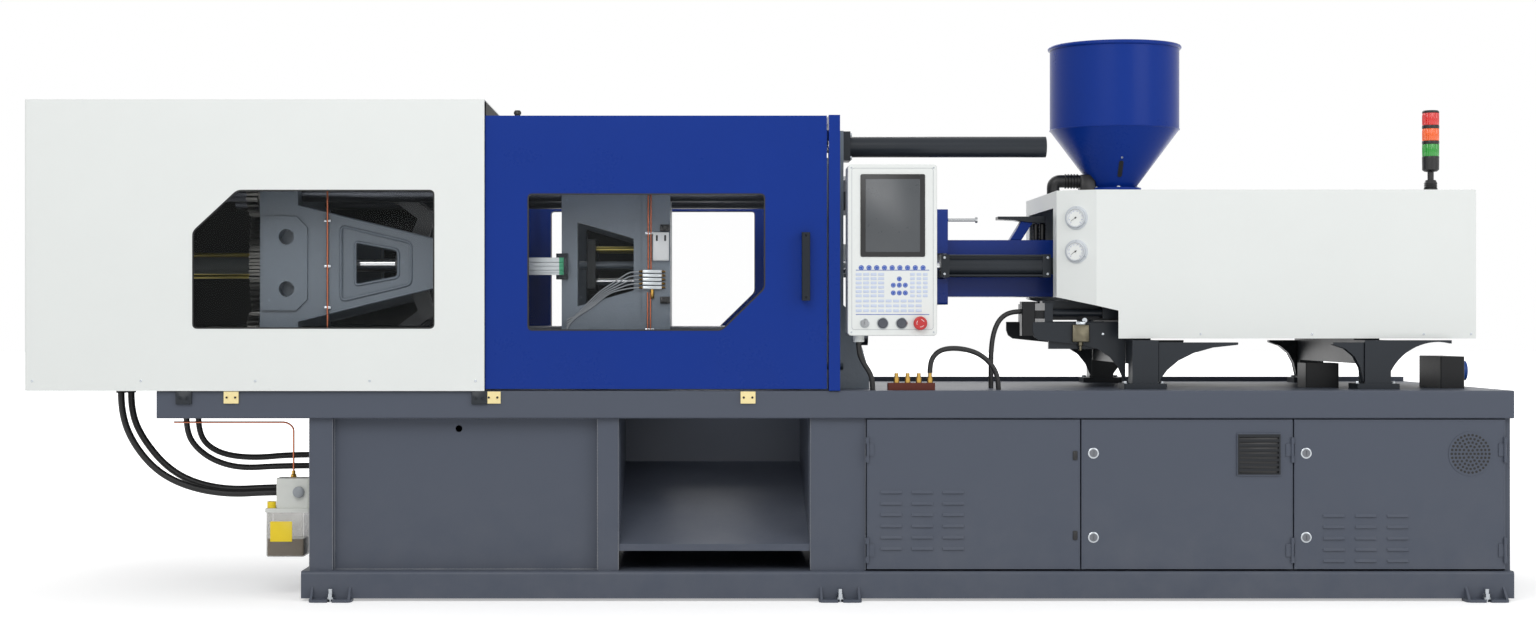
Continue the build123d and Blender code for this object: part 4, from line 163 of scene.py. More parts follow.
def eased(before, corner, after, cut_back, cut_on, steps):
    """The curve a*(1-t)^2 + 2*c*t*(1-t) + b*t^2 that takes off a corner c."""
    t = np.linspace(0, 1, steps)[:, None]
    a = corner + (before - corner) / np.linalg.norm(before - corner) * cut_back
    b = corner + (after - corner) / np.linalg.norm(after - corner) * cut_on
    return a * (1 - t) ** 2 + 2 * corner * t * (1 - t) + b * t**2


def bent(corners, radius, steps=6):
    """A path with each corner eased by radius, or by a little less than half the shorter run."""
    corners = np.array(corners, float)
    runs = [corners[:1]]
    for before, corner, after in zip(corners, corners[1:], corners[2:]):
        back = np.linalg.norm(before - corner)
        on = np.linalg.norm(after - corner)
        cut = min(radius, 0.48 * back, 0.48 * on)
        runs.append(eased(before, corner, after, cut, cut, steps))
    runs.append(corners[-1:])
    return np.concatenate(runs)


def round_corners(corners, radius, steps=5):
    """A closed outline with each corner eased by radius."""
    closed = np.array((*corners[-1:], *corners, *corners[:1]), float)
    parts = []
    for before, corner, after in zip(closed, closed[1:], closed[2:]):
        parts.append(eased(before, corner, after, radius, radius, steps))
    return np.concatenate(parts)


def rounded(x0, x1, z0, z1, radius, steps=5):
    """The outline of a rectangle with quarter-circle corners, as (x, z) points."""
    t = np.linspace(0, np.pi / 2, steps)
    quarter = np.stack([np.cos(t), np.sin(t)], 1) * radius
    turns = ((1, 1, 0), (-1, 1, 1), (-1, -1, 0), (1, -1, 1))
    corners = ((x1, z1), (x0, z1), (x0, z0), (x1, z0))
    parts = []
    for (sx, sz, flip), (cx, cz) in zip(turns, corners):
        arc = quarter[::-1] if flip else quarter
        parts.append(arc * (sx, sz) + (cx - sx * radius, cz - sz * radius))
    return np.concatenate(parts)


# Where the flat coordinates and the depth go, for each plane an outline can lie in
plane_order = {"xz": (0, 2, 1), "xy": (0, 1, 2), "yz": (2, 0, 1)}


def at_depth(flat, depth, plane="xz"):
    """Flat points moved into space: two of their three coordinates vary, the third is the depth."""
    flat = np.asarray(flat, float)
    return np.column_stack([flat, np.full(len(flat), depth)])[:, plane_order[plane]]


def slab(outline, near, far, edge=0.0, plane="xz"):
    """An outline carried from near to far, drawn in by edge at both ends, with flat caps."""
    outline = np.array(outline, float)
    centre = (outline.max(0) + outline.min(0)) / 2
    half = (outline.max(0) - outline.min(0)) / 2
    small = centre + (outline - centre) * (1 - edge / half)
    step = edge if far > near else -edge
    levels = ((small, near), (outline, near + step), (outline, far - step), (small, far))
    if edge == 0:
        levels = ((outline, near), (outline, far))
    points = np.concatenate([at_depth(flat, depth, plane) for flat, depth in levels])
    return points, capped_quads(len(levels), len(outline))


def box(x0, x1, y0, y1, z0, z1, edge=0.001):
    """A box whose front and back edges are drawn in, as a pressed or cast block has them."""
    return slab(rounded(x0, x1, z0, z1, max(edge, 0.0005), 3), y0, y1, edge)


def frame_sweep(outline, depth, width, thick):
    """A flat strip of the given width and thickness carried round a closed outline at one depth."""
    outline = np.array(outline, float)
    ahead = np.roll(outline, -1, 0) - np.roll(outline, 1, 0)
    ahead /= np.linalg.norm(ahead, axis=1)[:, None]
    out = np.stack([ahead[:, 1], -ahead[:, 0]], 1)
    corners = ((-width / 2, 0), (width / 2, 0), (width / 2, thick), (-width / 2, thick))
    rings = [at_depth(outline + out * side, depth + deep) for side, deep in corners]
    points = np.stack(rings, 1).reshape(-1, 3)
    return points, grid_quads(len(outline), 4, wrap_rows=True)


def piece(name, parts, finish, body, smooth=40):
    """One object out of several shapes, its doubles merged and its faces turned outwards."""
    points = []
    faces = []
    start = 0
    for shape_points, shape_faces in parts:
        points.append(shape_points)
        faces.extend([[int(k) + start for k in f] for f in shape_faces])
        start += len(shape_points)
    mesh = bpy.data.meshes.new(name)
    mesh.from_pydata(np.concatenate(points).tolist(), [], faces)
    work = bmesh.new()
    work.from_mesh(mesh)
    bmesh.ops.remove_doubles(work, verts=work.verts, dist=1e-6)
    bmesh.ops.dissolve_degenerate(work, edges=work.edges, dist=1e-7)
    bmesh.ops.recalc_face_normals(work, faces=work.faces)
    work.to_mesh(mesh)
    work.free()
    mesh.shade_smooth()
    mesh.set_sharp_from_angle(angle=math.radians(smooth))
    thing = bpy.data.objects.new(name, mesh)
    bpy.context.scene.collection.objects.link(thing)
    mesh.materials.append(finish)
    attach(thing, body)
    return thing


def cap_screw(x, y, z, axis, radius, height):
    """A socket head screw: a turned head with a hollow in its end."""
    foot = -0.001
    shoulder = height * 0.8
    floor_of_hollow = height * 0.4
    profile = (
        (0, foot), (radius, foot), (radius, shoulder), (radius * 0.88, height),
        (radius * 0.5, height), (radius * 0.42, floor_of_hollow), (0, floor_of_hollow),
    )
    return turned(profile, (x, y, z), axis, 14)


def screw_pairs(places, depth, z, radius):
    """Low cap screws at the same places on the front and the rear."""
    screws = []
    for x in places:
        screws.append(cap_screw(x, -depth, z, to_front, radius, 0.002))
        screws.append(cap_screw(x, depth, z, to_rear, radius, 0.002))
    return screws


def hex_bolt(x, y, z, axis, radius, height):
    """A six-sided bolt head on a washer."""
    wide = radius * 1.35
    washer_height = 0.0015
    washer = ((0, 0), (wide, 0), (wide, washer_height), (0, washer_height))
    head = ((0, 0), (radius, 0), (radius, height * 0.8), (radius * 0.85, height), (0, height))
    return [turned(washer, (x, y, z), axis, 20), turned(head, (x, y, z), axis, 6)]


# Effects that several finishes share


def effect(name, inputs, outputs):
    """An empty node group with named sockets, and its two end nodes."""
    tree = bpy.data.node_groups.new(name, "ShaderNodeTree")
    for label, value in inputs:
        kind = "NodeSocketColor" if isinstance(value, tuple) else "NodeSocketFloat"
        socket = tree.interface.new_socket(label, in_out="INPUT", socket_type=kind)
        socket.default_value = value
    for label in outputs:
        kind = "NodeSocketColor" if label == "Colour" else "NodeSocketFloat"
        tree.interface.new_socket(label, in_out="OUTPUT", socket_type=kind)
    return tree, tree.nodes.new("NodeGroupInput"), tree.nodes.new("NodeGroupOutput")


def feed(tree, socket, source):
    """A socket set to a plain value or linked to another socket."""
    if isinstance(source, bpy.types.NodeSocket):
        tree.links.new(source, socket)
    else:
        socket.default_value = source


def add(tree, kind, links=(), **settings):
    """A node with its settings, its plain values and its incoming links."""
    node = tree.nodes.new(kind)
    for key, value in settings.items():
        setattr(node, key, value)
    for socket, source in links:
        feed(tree, node.inputs[socket], source)
    return node


def place_on_object(tree):
    """The Object coordinates."""
    return add(tree, "ShaderNodeTexCoord").outputs["Object"]


def noise(tree, vector, scale, detail=3.0, rough=0.5):
    """Noise on a vector, as a value from 0 to 1."""
    links = (("Vector", vector), ("Scale", scale), ("Detail", detail), ("Roughness", rough))
    return add(tree, "ShaderNodeTexNoise", links).outputs["Fac"]


def ranged(tree, value, low, high, to_low, to_high):
    """A value carried from one range to another."""
    links = ((0, value), (1, low), (2, high), (3, to_low), (4, to_high))
    return add(tree, "ShaderNodeMapRange", links).outputs[0]


def maths(tree, kind, a, b=0.0):
    """One sum on two values."""
    return add(tree, "ShaderNodeMath", ((0, a), (1, b)), operation=kind).outputs[0]


def times(tree, a, b):
    """The product of two values."""
    return maths(tree, "MULTIPLY", a, b)


def plus(tree, a, b):
    """The sum of two values."""
    return maths(tree, "ADD", a, b)


def blend_colour(tree, share, a, b, kind="MIX"):
    """Two colours mixed by a share."""
    node = add(tree, "ShaderNodeMix", data_type="RGBA", blend_type=kind)
    for number, source in ((0, share), (6, a), (7, b)):
        feed(tree, node.inputs[number], source)
    return node.outputs[2]


def uneven_skin():
    """Colour and roughness that drift a little over the surface, as sprayed or moulded skins do."""
    inputs = (
        ("Colour", (0.5, 0.5, 0.5, 1)),
        ("Spread", 0.05),
        ("Scale", 3.0),
        ("Roughness", 0.4),
        ("Roughness spread", 0.06),
    )
    tree, start, end = effect("Uneven skin", inputs, ("Colour", "Roughness"))
    given = start.outputs
    place = place_on_object(tree)
    broad = noise(tree, place, given["Scale"], 4.0, 0.6)
    fine = noise(tree, place, 90.0, 2.0)
    both = plus(tree, times(tree, broad, 0.8), times(tree, fine, 0.2))
    centred = maths(tree, "SUBTRACT", both, 0.5)
    gain = plus(tree, times(tree, centred, times(tree, given["Spread"], 4.0)), 1.0)
    colour = blend_colour(tree, 1.0, given["Colour"], gain, "MULTIPLY")
    swing = times(tree, centred, times(tree, given["Roughness spread"], 4.0))
    tree.links.new(colour, end.inputs["Colour"])
    tree.links.new(plus(tree, given["Roughness"], swing), end.inputs["Roughness"])
    return tree


def dust_and_rub():
    """Pale dust near the floor and on faces that look up, and thin rubbed marks."""
    inputs = (
        ("Colour", (0.5, 0.5, 0.5, 1)),
        ("Dust colour", (0.55, 0.53, 0.50, 1)),
        ("Dust", 0.2),
        ("Dust height", 0.5),
        ("Rub colour", (0.6, 0.6, 0.6, 1)),
        ("Rub", 0.1),
    )
    tree, start, end = effect("Dust and rub", inputs, ("Colour",))
    given = start.outputs
    place = place_on_object(tree)
    height = add(tree, "ShaderNodeSeparateXYZ", ((0, place),)).outputs["Z"]
    low = ranged(tree, height, 0.0, given["Dust height"], 1.0, 0.0)
    normal = add(tree, "ShaderNodeNewGeometry").outputs["Normal"]
    up = add(tree, "ShaderNodeSeparateXYZ", ((0, normal),)).outputs["Z"]
    ledge = ranged(tree, up, 0.6, 1.0, 0.0, 0.7)
    patch = ranged(tree, noise(tree, place, 7.0, 6.0, 0.65), 0.35, 0.75, 0.0, 1.0)
    settled = times(tree, maths(tree, "MAXIMUM", low, ledge), patch)
    share = times(tree, settled, given["Dust"])
    dusty = blend_colour(tree, share, given["Colour"], given["Dust colour"])
    stretched = (("Vector", place), ("Scale", (9.0, 60.0, 55.0)))
    streaks = add(tree, "ShaderNodeMapping", stretched).outputs[0]
    marks = ranged(tree, noise(tree, streaks, 1.6, 5.0, 0.7), 0.70, 0.76, 0.0, 1.0)
    where = ranged(tree, noise(tree, place, 2.3, 2.0), 0.55, 0.72, 0.0, 1.0)
    rubbed = times(tree, times(tree, marks, where), given["Rub"])
    tree.links.new(blend_colour(tree, rubbed, dusty, given["Rub colour"]), end.inputs["Colour"])
    return tree


def sprayed_peel():
    """The fine orange-peel height of sprayed enamel."""
    tree, start, end = effect("Sprayed peel", (("Scale", 260.0),), ("Height",))
    peel = noise(tree, place_on_object(tree), start.outputs["Scale"], 1.5)
    tree.links.new(peel, end.inputs["Height"])
    return tree


def sand_cast():
    """The pitted, gently wavy height of a painted sand casting, and a mask of spots that get a
    painted highlight.
    """
    tree, start, end = effect("Sand cast", (("Scale", 60.0),), ("Height", "Glint"))
    place = place_on_object(tree)
    pits = noise(tree, place, start.outputs["Scale"], 6.0, 0.7)
    waves = noise(tree, place, 9.0, 3.0)
    height = plus(tree, times(tree, pits, 0.6), times(tree, waves, 0.8))
    glint_mask = ranged(tree, noise(tree, place, 24.0, 8.0, 0.75), 0.62, 0.74, 0.0, 1.0)
    tree.links.new(height, end.inputs["Height"])
    tree.links.new(glint_mask, end.inputs["Glint"])
    return tree


def drawn_grain():
    """Fine lines along X, left by grinding and drawing, as a height and a roughness."""
    inputs = (("Roughness", 0.25), ("Across", 900.0))
    tree, start, end = effect("Drawn grain", inputs, ("Height", "Roughness"))
    place = place_on_object(tree)
    parts = add(tree, "ShaderNodeSeparateXYZ", ((0, place),)).outputs
    wide = start.outputs["Across"]
    y = times(tree, parts["Y"], wide)
    z = times(tree, parts["Z"], wide)
    x = times(tree, parts["X"], 12.0)
    line = add(tree, "ShaderNodeCombineXYZ", ((0, x), (1, y), (2, z))).outputs[0]
    lines = noise(tree, line, 1.0, 3.0)
    tree.links.new(lines, end.inputs["Height"])
    spots = noise(tree, place, 14.0, 5.0, 0.7)
    change = times(tree, maths(tree, "SUBTRACT", plus(tree, lines, spots), 1.0), 0.18)
    tree.links.new(plus(tree, start.outputs["Roughness"], change), end.inputs["Roughness"])
    return tree


def band_mask():
    """1 where one Object coordinate lies between two limits, else 0."""
    inputs = (("Value", 0.0), ("From", 0.0), ("To", 1.0))
    tree, start, end = effect("Band", inputs, ("Mask",))
    above = maths(tree, "GREATER_THAN", start.outputs["Value"], start.outputs["From"])
    below = maths(tree, "LESS_THAN", start.outputs["Value"], start.outputs["To"])
    tree.links.new(times(tree, above, below), end.inputs["Mask"])
    return tree


skin_group = uneven_skin()
dust_group = dust_and_rub()
peel_group = sprayed_peel()
cast_group = sand_cast()
grain_group = drawn_grain()
band_group = band_mask()


# Finishes


def linear(colour):
    """A written display colour as scene-linear values."""
    c = np.array(colour, float)
    c = np.where(c <= 0.04045, c / 12.92, ((c + 0.055) / 1.055) ** 2.4)
    return (*[float(v) for v in c], 1.0)


def use(tree, group, links=()):
    """A shared effect placed in a material with its own values."""
    node = tree.nodes.new("ShaderNodeGroup")
    node.node_tree = group
    for socket, source in links:
        feed(tree, node.inputs[socket], source)
    return node.outputs


def start_finish(name):
    """A new material with its node tree and its Principled shader."""
    material = bpy.data.materials.new(name)
    material.use_nodes = True
    tree = material.node_tree
    return material, tree, tree.nodes["Principled BSDF"]


def skin_of(tree, colour, spread, rough, **others):
    """The uneven skin of a finish, with further values by name."""
    values = [("Colour", linear(colour)), ("Spread", spread), ("Roughness", rough)]
    values += [(name.capitalize().replace("_", " "), value) for name, value in others.items()]
    return use(tree, skin_group, values)


def wire(tree, shader, **sources):
    """The shader's sockets set or linked, by name."""
    for name, source in sources.items():
        feed(tree, shader.inputs[name.replace("_", " ")], source)


def bump(tree, shader, height, strength, distance=0.001):
    """A height laid on the shader's normal."""
    links = (("Height", height), ("Strength", strength), ("Distance", distance))
    normal = add(tree, "ShaderNodeBump", links).outputs["Normal"]
    tree.links.new(normal, shader.inputs["Normal"])


def part_of_object(tree, axis):
    """One Object coordinate, or its distance from the middle plane for |Y|."""
    parts = add(tree, "ShaderNodeSeparateXYZ", ((0, place_on_object(tree)),))
    if axis == "|Y|":
        return maths(tree, "ABSOLUTE", parts.outputs["Y"])
    return parts.outputs[axis]


def band(tree, axis, low, high):
    """1 where an Object coordinate lies between two limits."""
    links = (("Value", part_of_object(tree, axis)), ("From", low), ("To", high))
    return use(tree, band_group, links)["Mask"]


def enamel(
    name,
    colour,
    rough=0.34,
    dust=0.12,
    rub=0.06,
    peel=0.12,
    spread=0.03,
    coat=0.05,
    gloss=0.25,
    zones=(),
):
    """Sprayed enamel, repainted by each of its zones.

    A zone is (axis, from, to, colour, roughness, metal, further bands).
    """
    material, tree, shader = start_finish(name)
    skin = skin_of(tree, colour, spread, rough)
    dusty = use(tree, dust_group, (("Colour", skin["Colour"]), ("Dust", dust), ("Rub", rub)))
    shown = dusty["Colour"]
    roughness = skin["Roughness"]
    metal = 0.0
    for axis, low, high, zone_colour, zone_rough, zone_metal, *further in zones:
        mask = band(tree, axis, low, high)
        for other_band in further:
            mask = times(tree, mask, band(tree, *other_band))
        shown = blend_colour(tree, mask, shown, linear(zone_colour))
        kept = times(tree, roughness, maths(tree, "SUBTRACT", 1.0, mask))
        roughness = plus(tree, kept, times(tree, mask, zone_rough))
        if zone_metal:
            metal = maths(tree, "MAXIMUM", metal, mask)
    wire(tree, shader, Base_Color=shown, Roughness=roughness, Metallic=metal)
    wire(tree, shader, Coat_Weight=coat, Coat_Roughness=0.2, Specular_IOR_Level=gloss)
    bump(tree, shader, use(tree, peel_group)["Height"], peel, 0.0006)
    return material


def casting(name, colour, rough=0.5, scale=60.0, strength=0.5):
    """Painted cast iron: pitted, with paler spots of painted highlight and a little dust."""
    material, tree, shader = start_finish(name)
    skin = skin_of(tree, colour, 0.10, rough, scale=5.0)
    cast = use(tree, cast_group, (("Scale", scale),))
    # Painted highlight: the glint spots are mixed towards a much paler copy of the colour, standing
    # in for light glancing off the cast surface.
    pale = (*[min(1.0, c * 1.9 + 0.03) for c in linear(colour)[:3]], 1.0)
    glinted_colour = blend_colour(tree, times(tree, cast["Glint"], 0.8), skin["Colour"], pale)
    settled = (("Colour", glinted_colour), ("Dust", 0.25), ("Rub", 0.35), ("Dust height", 0.9))
    shown = use(tree, dust_group, settled)["Colour"]
    wire(tree, shader, Base_Color=shown, Roughness=skin["Roughness"], Specular_IOR_Level=0.6)
    bump(tree, shader, cast["Height"], strength, 0.002)
    return material


def bright_steel(name, colour, rough=0.25, across_lines=900.0, strength=0.15):
    """Ground or plated metal with fine lines along X and drifting roughness."""
    material, tree, shader = start_finish(name)
    grain = use(tree, grain_group, (("Roughness", rough), ("Across", across_lines)))
    skin = use(tree, skin_group, (("Colour", linear(colour)), ("Spread", 0.06), ("Scale", 8.0)))
    wire(tree, shader, Base_Color=skin["Colour"], Roughness=grain["Roughness"], Metallic=1.0)
    bump(tree, shader, grain["Height"], strength, 0.0004)
    return material


def plastic(name, colour, rough=0.4, peel=0.2, coat=0.0, spread=0.03, sheen=0.0):
    """Moulded plastic or rubber with a fine skin."""
    material, tree, shader = start_finish(name)
    skin = skin_of(tree, colour, spread, rough, scale=12.0)
    wire(tree, shader, Base_Color=skin["Colour"], Roughness=skin["Roughness"])
    wire(tree, shader, Coat_Weight=coat, Sheen_Weight=sheen)
    bump(tree, shader, use(tree, peel_group, (("Scale", 700.0),))["Height"], peel, 0.0003)
    return material


def clear(name, colour, rough=0.03, cover=0.004, rear_painted_shade=False):
    """A clear sheet, nearly see-through, with faint smears; the one at the rear may be made opaque
    and near-black as painted shade.
    """
    material, tree, shader = start_finish(name)
    skin = skin_of(tree, colour, 0.02, rough, roughness_spread=0.05)
    shown = skin["Colour"]
    smears = noise(tree, place_on_object(tree), 3.0, 5.0, 0.7)
    alpha = ranged(tree, smears, 0.4, 0.8, cover, cover * 1.7)
    # Painted shade: panes at the rear (Y > 0) become opaque near-black, standing in for the dark
    # inside of the machine seen through them.
    if rear_painted_shade:
        rear = band(tree, "Y", 0.0, 1.0)
        alpha = maths(tree, "MAXIMUM", alpha, rear)
        shown = blend_colour(tree, rear, shown, (0.004, 0.004, 0.004, 1))
    wire(tree, shader, Base_Color=shown, Roughness=skin["Roughness"], Alpha=alpha)
    wire(tree, shader, IOR=1.49, Specular_IOR_Level=0.06)
    return material


def lit_lens(name, colour):
    """A coloured signal lens that glows a little."""
    material, tree, shader = start_finish(name)
    skin = skin_of(tree, colour, 0.05, 0.18, scale=30.0)
    wire(tree, shader, Base_Color=skin["Colour"], Roughness=skin["Roughness"])
    wire(tree, shader, Emission_Color=skin["Colour"], Emission_Strength=0.18, Coat_Weight=0.6)
    bump(tree, shader, use(tree, peel_group, (("Scale", 400.0),))["Height"], 0.08, 0.0003)
    return material


blue = (0.050, 0.195, 0.535)
white = (0.905, 0.918, 0.910)
grey = (0.306, 0.330, 0.380)
black = (0.150, 0.170, 0.195)
steel = (0.72, 0.73, 0.74)
olive = (0.60, 0.55, 0.30)

# Zones: where one solid carries a second finish, or painted shade
inside_guard = (("X", -2.6035, 0.0), ("Z", 0.0, 1.7535))
# Painted shade: the inside faces of the clamp guard are painted dark grey, standing in for the
# shade inside it.
guard_painted_shade_zones = (("|Y|", 0.0, 0.6535, (0.15, 0.147, 0.14), 0.7, False, *inside_guard),)
grille_zones = (("Z", 0.443, 0.585, (0.13, 0.14, 0.155), 0.5, False, ("X", 1.639, 1.789)),)
pin_place = (("Z", 1.340, 1.372), ("X", 0.676, 1.0))
pin_zones = (("Y", -0.184, -0.156, steel, 0.22, True, *pin_place),)
cylinder_zones = (
    ("Z", 1.2215, 1.2405, olive, 0.32, True),
    ("Z", 1.1395, 1.1585, olive, 0.32, True),
    ("|Y|", 0.270, 0.340, steel, 0.16, True),
)
rods_only = ("X", -0.632, 0.0)
ejector_zones = (
    ("Z", 1.236, 1.264, olive, 0.28, True, rods_only),
    ("Z", 1.176, 1.204, olive, 0.28, True, rods_only),
    ("Z", 1.116, 1.144, steel, 0.15, True, rods_only),
)
door_zones = (
    ("|Y|", 0.6443, 1.0, black, 0.28, False),
    ("|Y|", 0.0, 0.6155, steel, 0.3, True),
)
manifold_zones = (("Z", bed_top + 0.0262, 2.0, (0.72, 0.58, 0.30), 0.3, True),)
box_zones = (("X", 2.5142, 3.0, (0.12, 0.30, 0.62), 0.35, False),)

clean_white = {"rough": 0.38, "dust": 0.05, "rub": 0.02, "spread": 0.012}
clean_blue = {"rough": 0.30, "dust": 0.02, "rub": 0.02, "coat": 0.05, "gloss": 0.12}
clean_grey = {"rough": 0.42, "dust": 0.05, "rub": 0.02, "spread": 0.015}
white_enamel = enamel("white enamel", white, **clean_white)
blue_enamel = enamel("blue enamel", blue, **clean_blue)
bed_enamel = enamel("bed enamel", grey, **clean_grey)
black_enamel = enamel("black enamel", black, rough=0.32, dust=0.06, rub=0.08, spread=0.08)
guard_enamel_with_painted_shade = enamel("guard enamel with painted inner shade", white, **clean_white, zones=guard_painted_shade_zones)
grille_enamel = enamel("grille door enamel", grey, **clean_grey, zones=grille_zones)
barrel_enamel = enamel("barrel cover enamel", blue, 0.30, dust=0.05, coat=0.08, zones=pin_zones)
cylinder_enamel = enamel("cylinder finish", (0.45, 0.47, 0.47), 0.3, zones=cylinder_zones)
ejector_enamel = enamel("ejector finish", (0.20, 0.215, 0.225), 0.4, zones=ejector_zones)
door_enamel = enamel("door enamel", blue, **clean_blue, zones=door_zones)
manifold_paint = enamel("manifold paint", (0.36, 0.16, 0.12), 0.5, dust=0.3, zones=manifold_zones)
box_enamel = enamel("box enamel", (0.085, 0.09, 0.10), 0.36, dust=0.2, zones=box_zones)
pump_plastic = enamel("pump housing", (0.86, 0.87, 0.85), 0.42, dust=0.25)

platen_casting = casting("platen casting", (0.40, 0.445, 0.490), 0.34, strength=1.0)
dark_casting = casting("dark casting", (0.16, 0.175, 0.19), 0.42)
# Dark steel for the ring gear and the height nuts.
gear_steel = bright_steel("dark gear steel", (0.38, 0.38, 0.37), 0.36, 300.0)
lock_steel = bright_steel("lock steel", (0.46, 0.47, 0.49), 0.5, 300.0)
valve_bronze = bright_steel("valve bronze", (0.42, 0.40, 0.34), 0.35, 300.0)
ground_steel = bright_steel("ground steel", (0.60, 0.61, 0.62), 0.30)
# Painted shade: the tie bars are drawn as dark grey steel, standing in for the shade and dark
# reflections they take inside the guard.
shaded_tie_bar_steel = bright_steel("tie bar steel, painted shade", (0.30, 0.31, 0.335), 0.36, 300.0)
chrome = bright_steel("hard chrome", (0.80, 0.81, 0.82), 0.12, strength=0.05)
zinc_plate = bright_steel("bright zinc", (0.74, 0.76, 0.78), 0.28, 300.0)
yellow_zinc = bright_steel("yellow zinc", (0.86, 0.80, 0.60), 0.42, 250.0)
brass = bright_steel("brass", (0.76, 0.60, 0.30), 0.25, 400.0)
copper = bright_steel("copper pipe", (0.72, 0.42, 0.30), 0.28, 500.0)
alloy = bright_steel("anodised alloy", (0.70, 0.72, 0.73), 0.34, 1400.0)
hose_rubber = plastic("hose rubber", (0.055, 0.056, 0.060), 0.48, 0.35, spread=0.10, sheen=0.1)
# Black rubber for the window trims; the same dark finish is used as painted shade for vent holes,
# screw sockets, block slots and the sheet behind the moving platen's opening.
rubber_and_shade_black = plastic("trim rubber and painted shade", (0.05, 0.05, 0.055), 0.55, 0.3)
black_plastic = plastic("black plastic", (0.055, 0.057, 0.063), 0.38, 0.25)
grey_plastic = plastic("grey plastic", (0.60, 0.62, 0.64), 0.40, 0.15)
dark_button = plastic("dark button", (0.27, 0.285, 0.32), 0.40, 0.15)
gauge_rim = plastic("gauge rim", (0.80, 0.82, 0.84), 0.30, 0.05)
white_plastic = plastic("white plastic", (0.90, 0.91, 0.91), 0.35, 0.12)
blue_key = plastic("blue key", (0.14, 0.32, 0.68), 0.32, 0.1, coat=0.3)
pale_key = plastic("pale key", (0.78, 0.82, 0.90), 0.4, 0.1)
red_plastic = plastic("red plastic", (0.74, 0.08, 0.09), 0.30, 0.1, coat=0.4)
green_plastic = plastic("green plastic", (0.20, 0.62, 0.45), 0.35, 0.1)
yellow_plastic = plastic("yellow plastic", (0.95, 0.83, 0.12), 0.4, 0.1)
screen_glass = plastic("screen glass", (0.285, 0.30, 0.315), 0.30, 0.02)
clear_sheet = clear("clear sheet", (0.93, 0.96, 0.97))
guard_sheet_with_shaded_rear = clear("guard sheet, rear painted dark", (0.93, 0.96, 0.97), rear_painted_shade=True)
clear_bowl = clear("clear bowl", (0.62, 0.61, 0.56), 0.12, 0.24)
oil = plastic("oil", (0.36, 0.17, 0.07), 0.12, 0.02, coat=0.8)
dial_card = plastic("dial card", (0.93, 0.94, 0.93), 0.5, 0.05)
red_lens = lit_lens("red lens", (0.80, 0.10, 0.07))
amber_lens = lit_lens("amber lens", (0.90, 0.36, 0.06))
green_lens = lit_lens("green lens", (0.05, 0.55, 0.12))
weld_metal = casting("weld bead", (0.36, 0.38, 0.42), 0.45, scale=220.0, strength=0.8)

finishes = {
    "bed_grey": bed_enamel,
    "white_paint": white_enamel,
    "blue_paint": blue_enamel,
    "casting": platen_casting,
    "dark_casting": dark_casting,
    "black_paint": black_enamel,
    "machined_steel": ground_steel,
    "chromed_steel": chrome,
    "zinc": zinc_plate,
    "yellow_zinc": yellow_zinc,
    "clear_sheet": clear_sheet,
    "hose_rubber": hose_rubber,
    "manifold_brass": manifold_paint,
    "white_plastic": pump_plastic,
    "oil_clear": clear_bowl,
    "dark_plastic": black_plastic,
    "red_plastic": red_plastic,
    "gauge_metal": chrome,
    "signal_plastic": black_plastic,
}
node_finishes = {
    "front_door": door_enamel,
    "rear_door": door_enamel,
    "junction_boxes": box_enamel,
    "clamp_guard": guard_enamel_with_painted_shade,
    "tie_bars": shaded_tie_bar_steel,
    "clamp_panes": guard_sheet_with_shaded_rear,
    "barrel_cover": barrel_enamel,
    "clamp_cylinder": cylinder_enamel,
    "ejector": ejector_enamel,
    "ring_gear": gear_steel,
    "key_switch": ground_steel,
    "cabinet_door_2": grille_enamel,
}
for n in (1, 2, 3, 4):
    node_finishes[f"height_nut_{n}"] = gear_steel
    node_finishes[f"door_lock_{n}"] = lock_steel
for n in (1, 2):
    node_finishes[f"push_button_{n}"] = dark_button

for part in frame["record"]["subparts"]:
    name = part["node"]
    mesh = nodes[name].data
    mesh.materials.clear()
    mesh.materials.append(node_finishes.get(name, finishes[part["material_slot"]]))


# Hoses: the same points as in the source, as smooth curves


def clamp_hose_points(x, y, lift):
    """One hose of the clamp cylinder, from its gland under the guard to the bed's end wall."""
    return (
        (x, y, bed_top - 0.017),
        (x, y, 0.655),
        (x + 0.035, y, 0.550 + lift),
        (x + 0.120, y, 0.442 + lift),
        (-2.110 + lift, y, 0.380 + lift),
        (-1.960, y, 0.352 + lift),
        (-1.800, y, 0.362 + lift),
        (bed_end, y, 0.362 + lift),
    )


def level_hose(y, points):
    """A hose that stays at one depth, from its (x, z) points."""
    return tuple((x, y, z) for x, z in points)


inner_hose = level_hose(
    -0.275,
    (
        (-2.125, 0.640), (-2.125, 0.580), (-2.093, 0.520), (-2.022, 0.468), (-1.922, 0.442),
        (-1.780, 0.452), (bed_end, 0.452),
    ),
)
conduit = level_hose(
    -0.235,
    (
        (-2.090, 0.640), (-2.090, 0.580), (-2.058, 0.522), (-1.985, 0.487), (-1.875, 0.478),
        (-1.750, 0.490), (bed_end, 0.490),
    ),
)
panel_cable = (
    (0.3136, -0.595, 0.908),
    (0.3136, -0.595, 0.870),
    (0.3316, -0.592, 0.832),
    (0.3536, -0.588, 0.800),
    (0.3636, -0.586, 0.770),
    (0.3636, -0.586, bed_top),
)
water_hose = (
    (0.5665, -0.580, 0.798),
    (0.5665, -0.580, 0.832),
    (0.584, -0.578, 0.866),
    (0.622, -0.574, 0.886),
    (0.690, -0.566, 0.884),
    (0.752, -0.558, 0.862),
    (0.796, -0.552, 0.818),
    (0.812, -0.550, 0.770),
    (0.812, -0.550, bed_top),
)
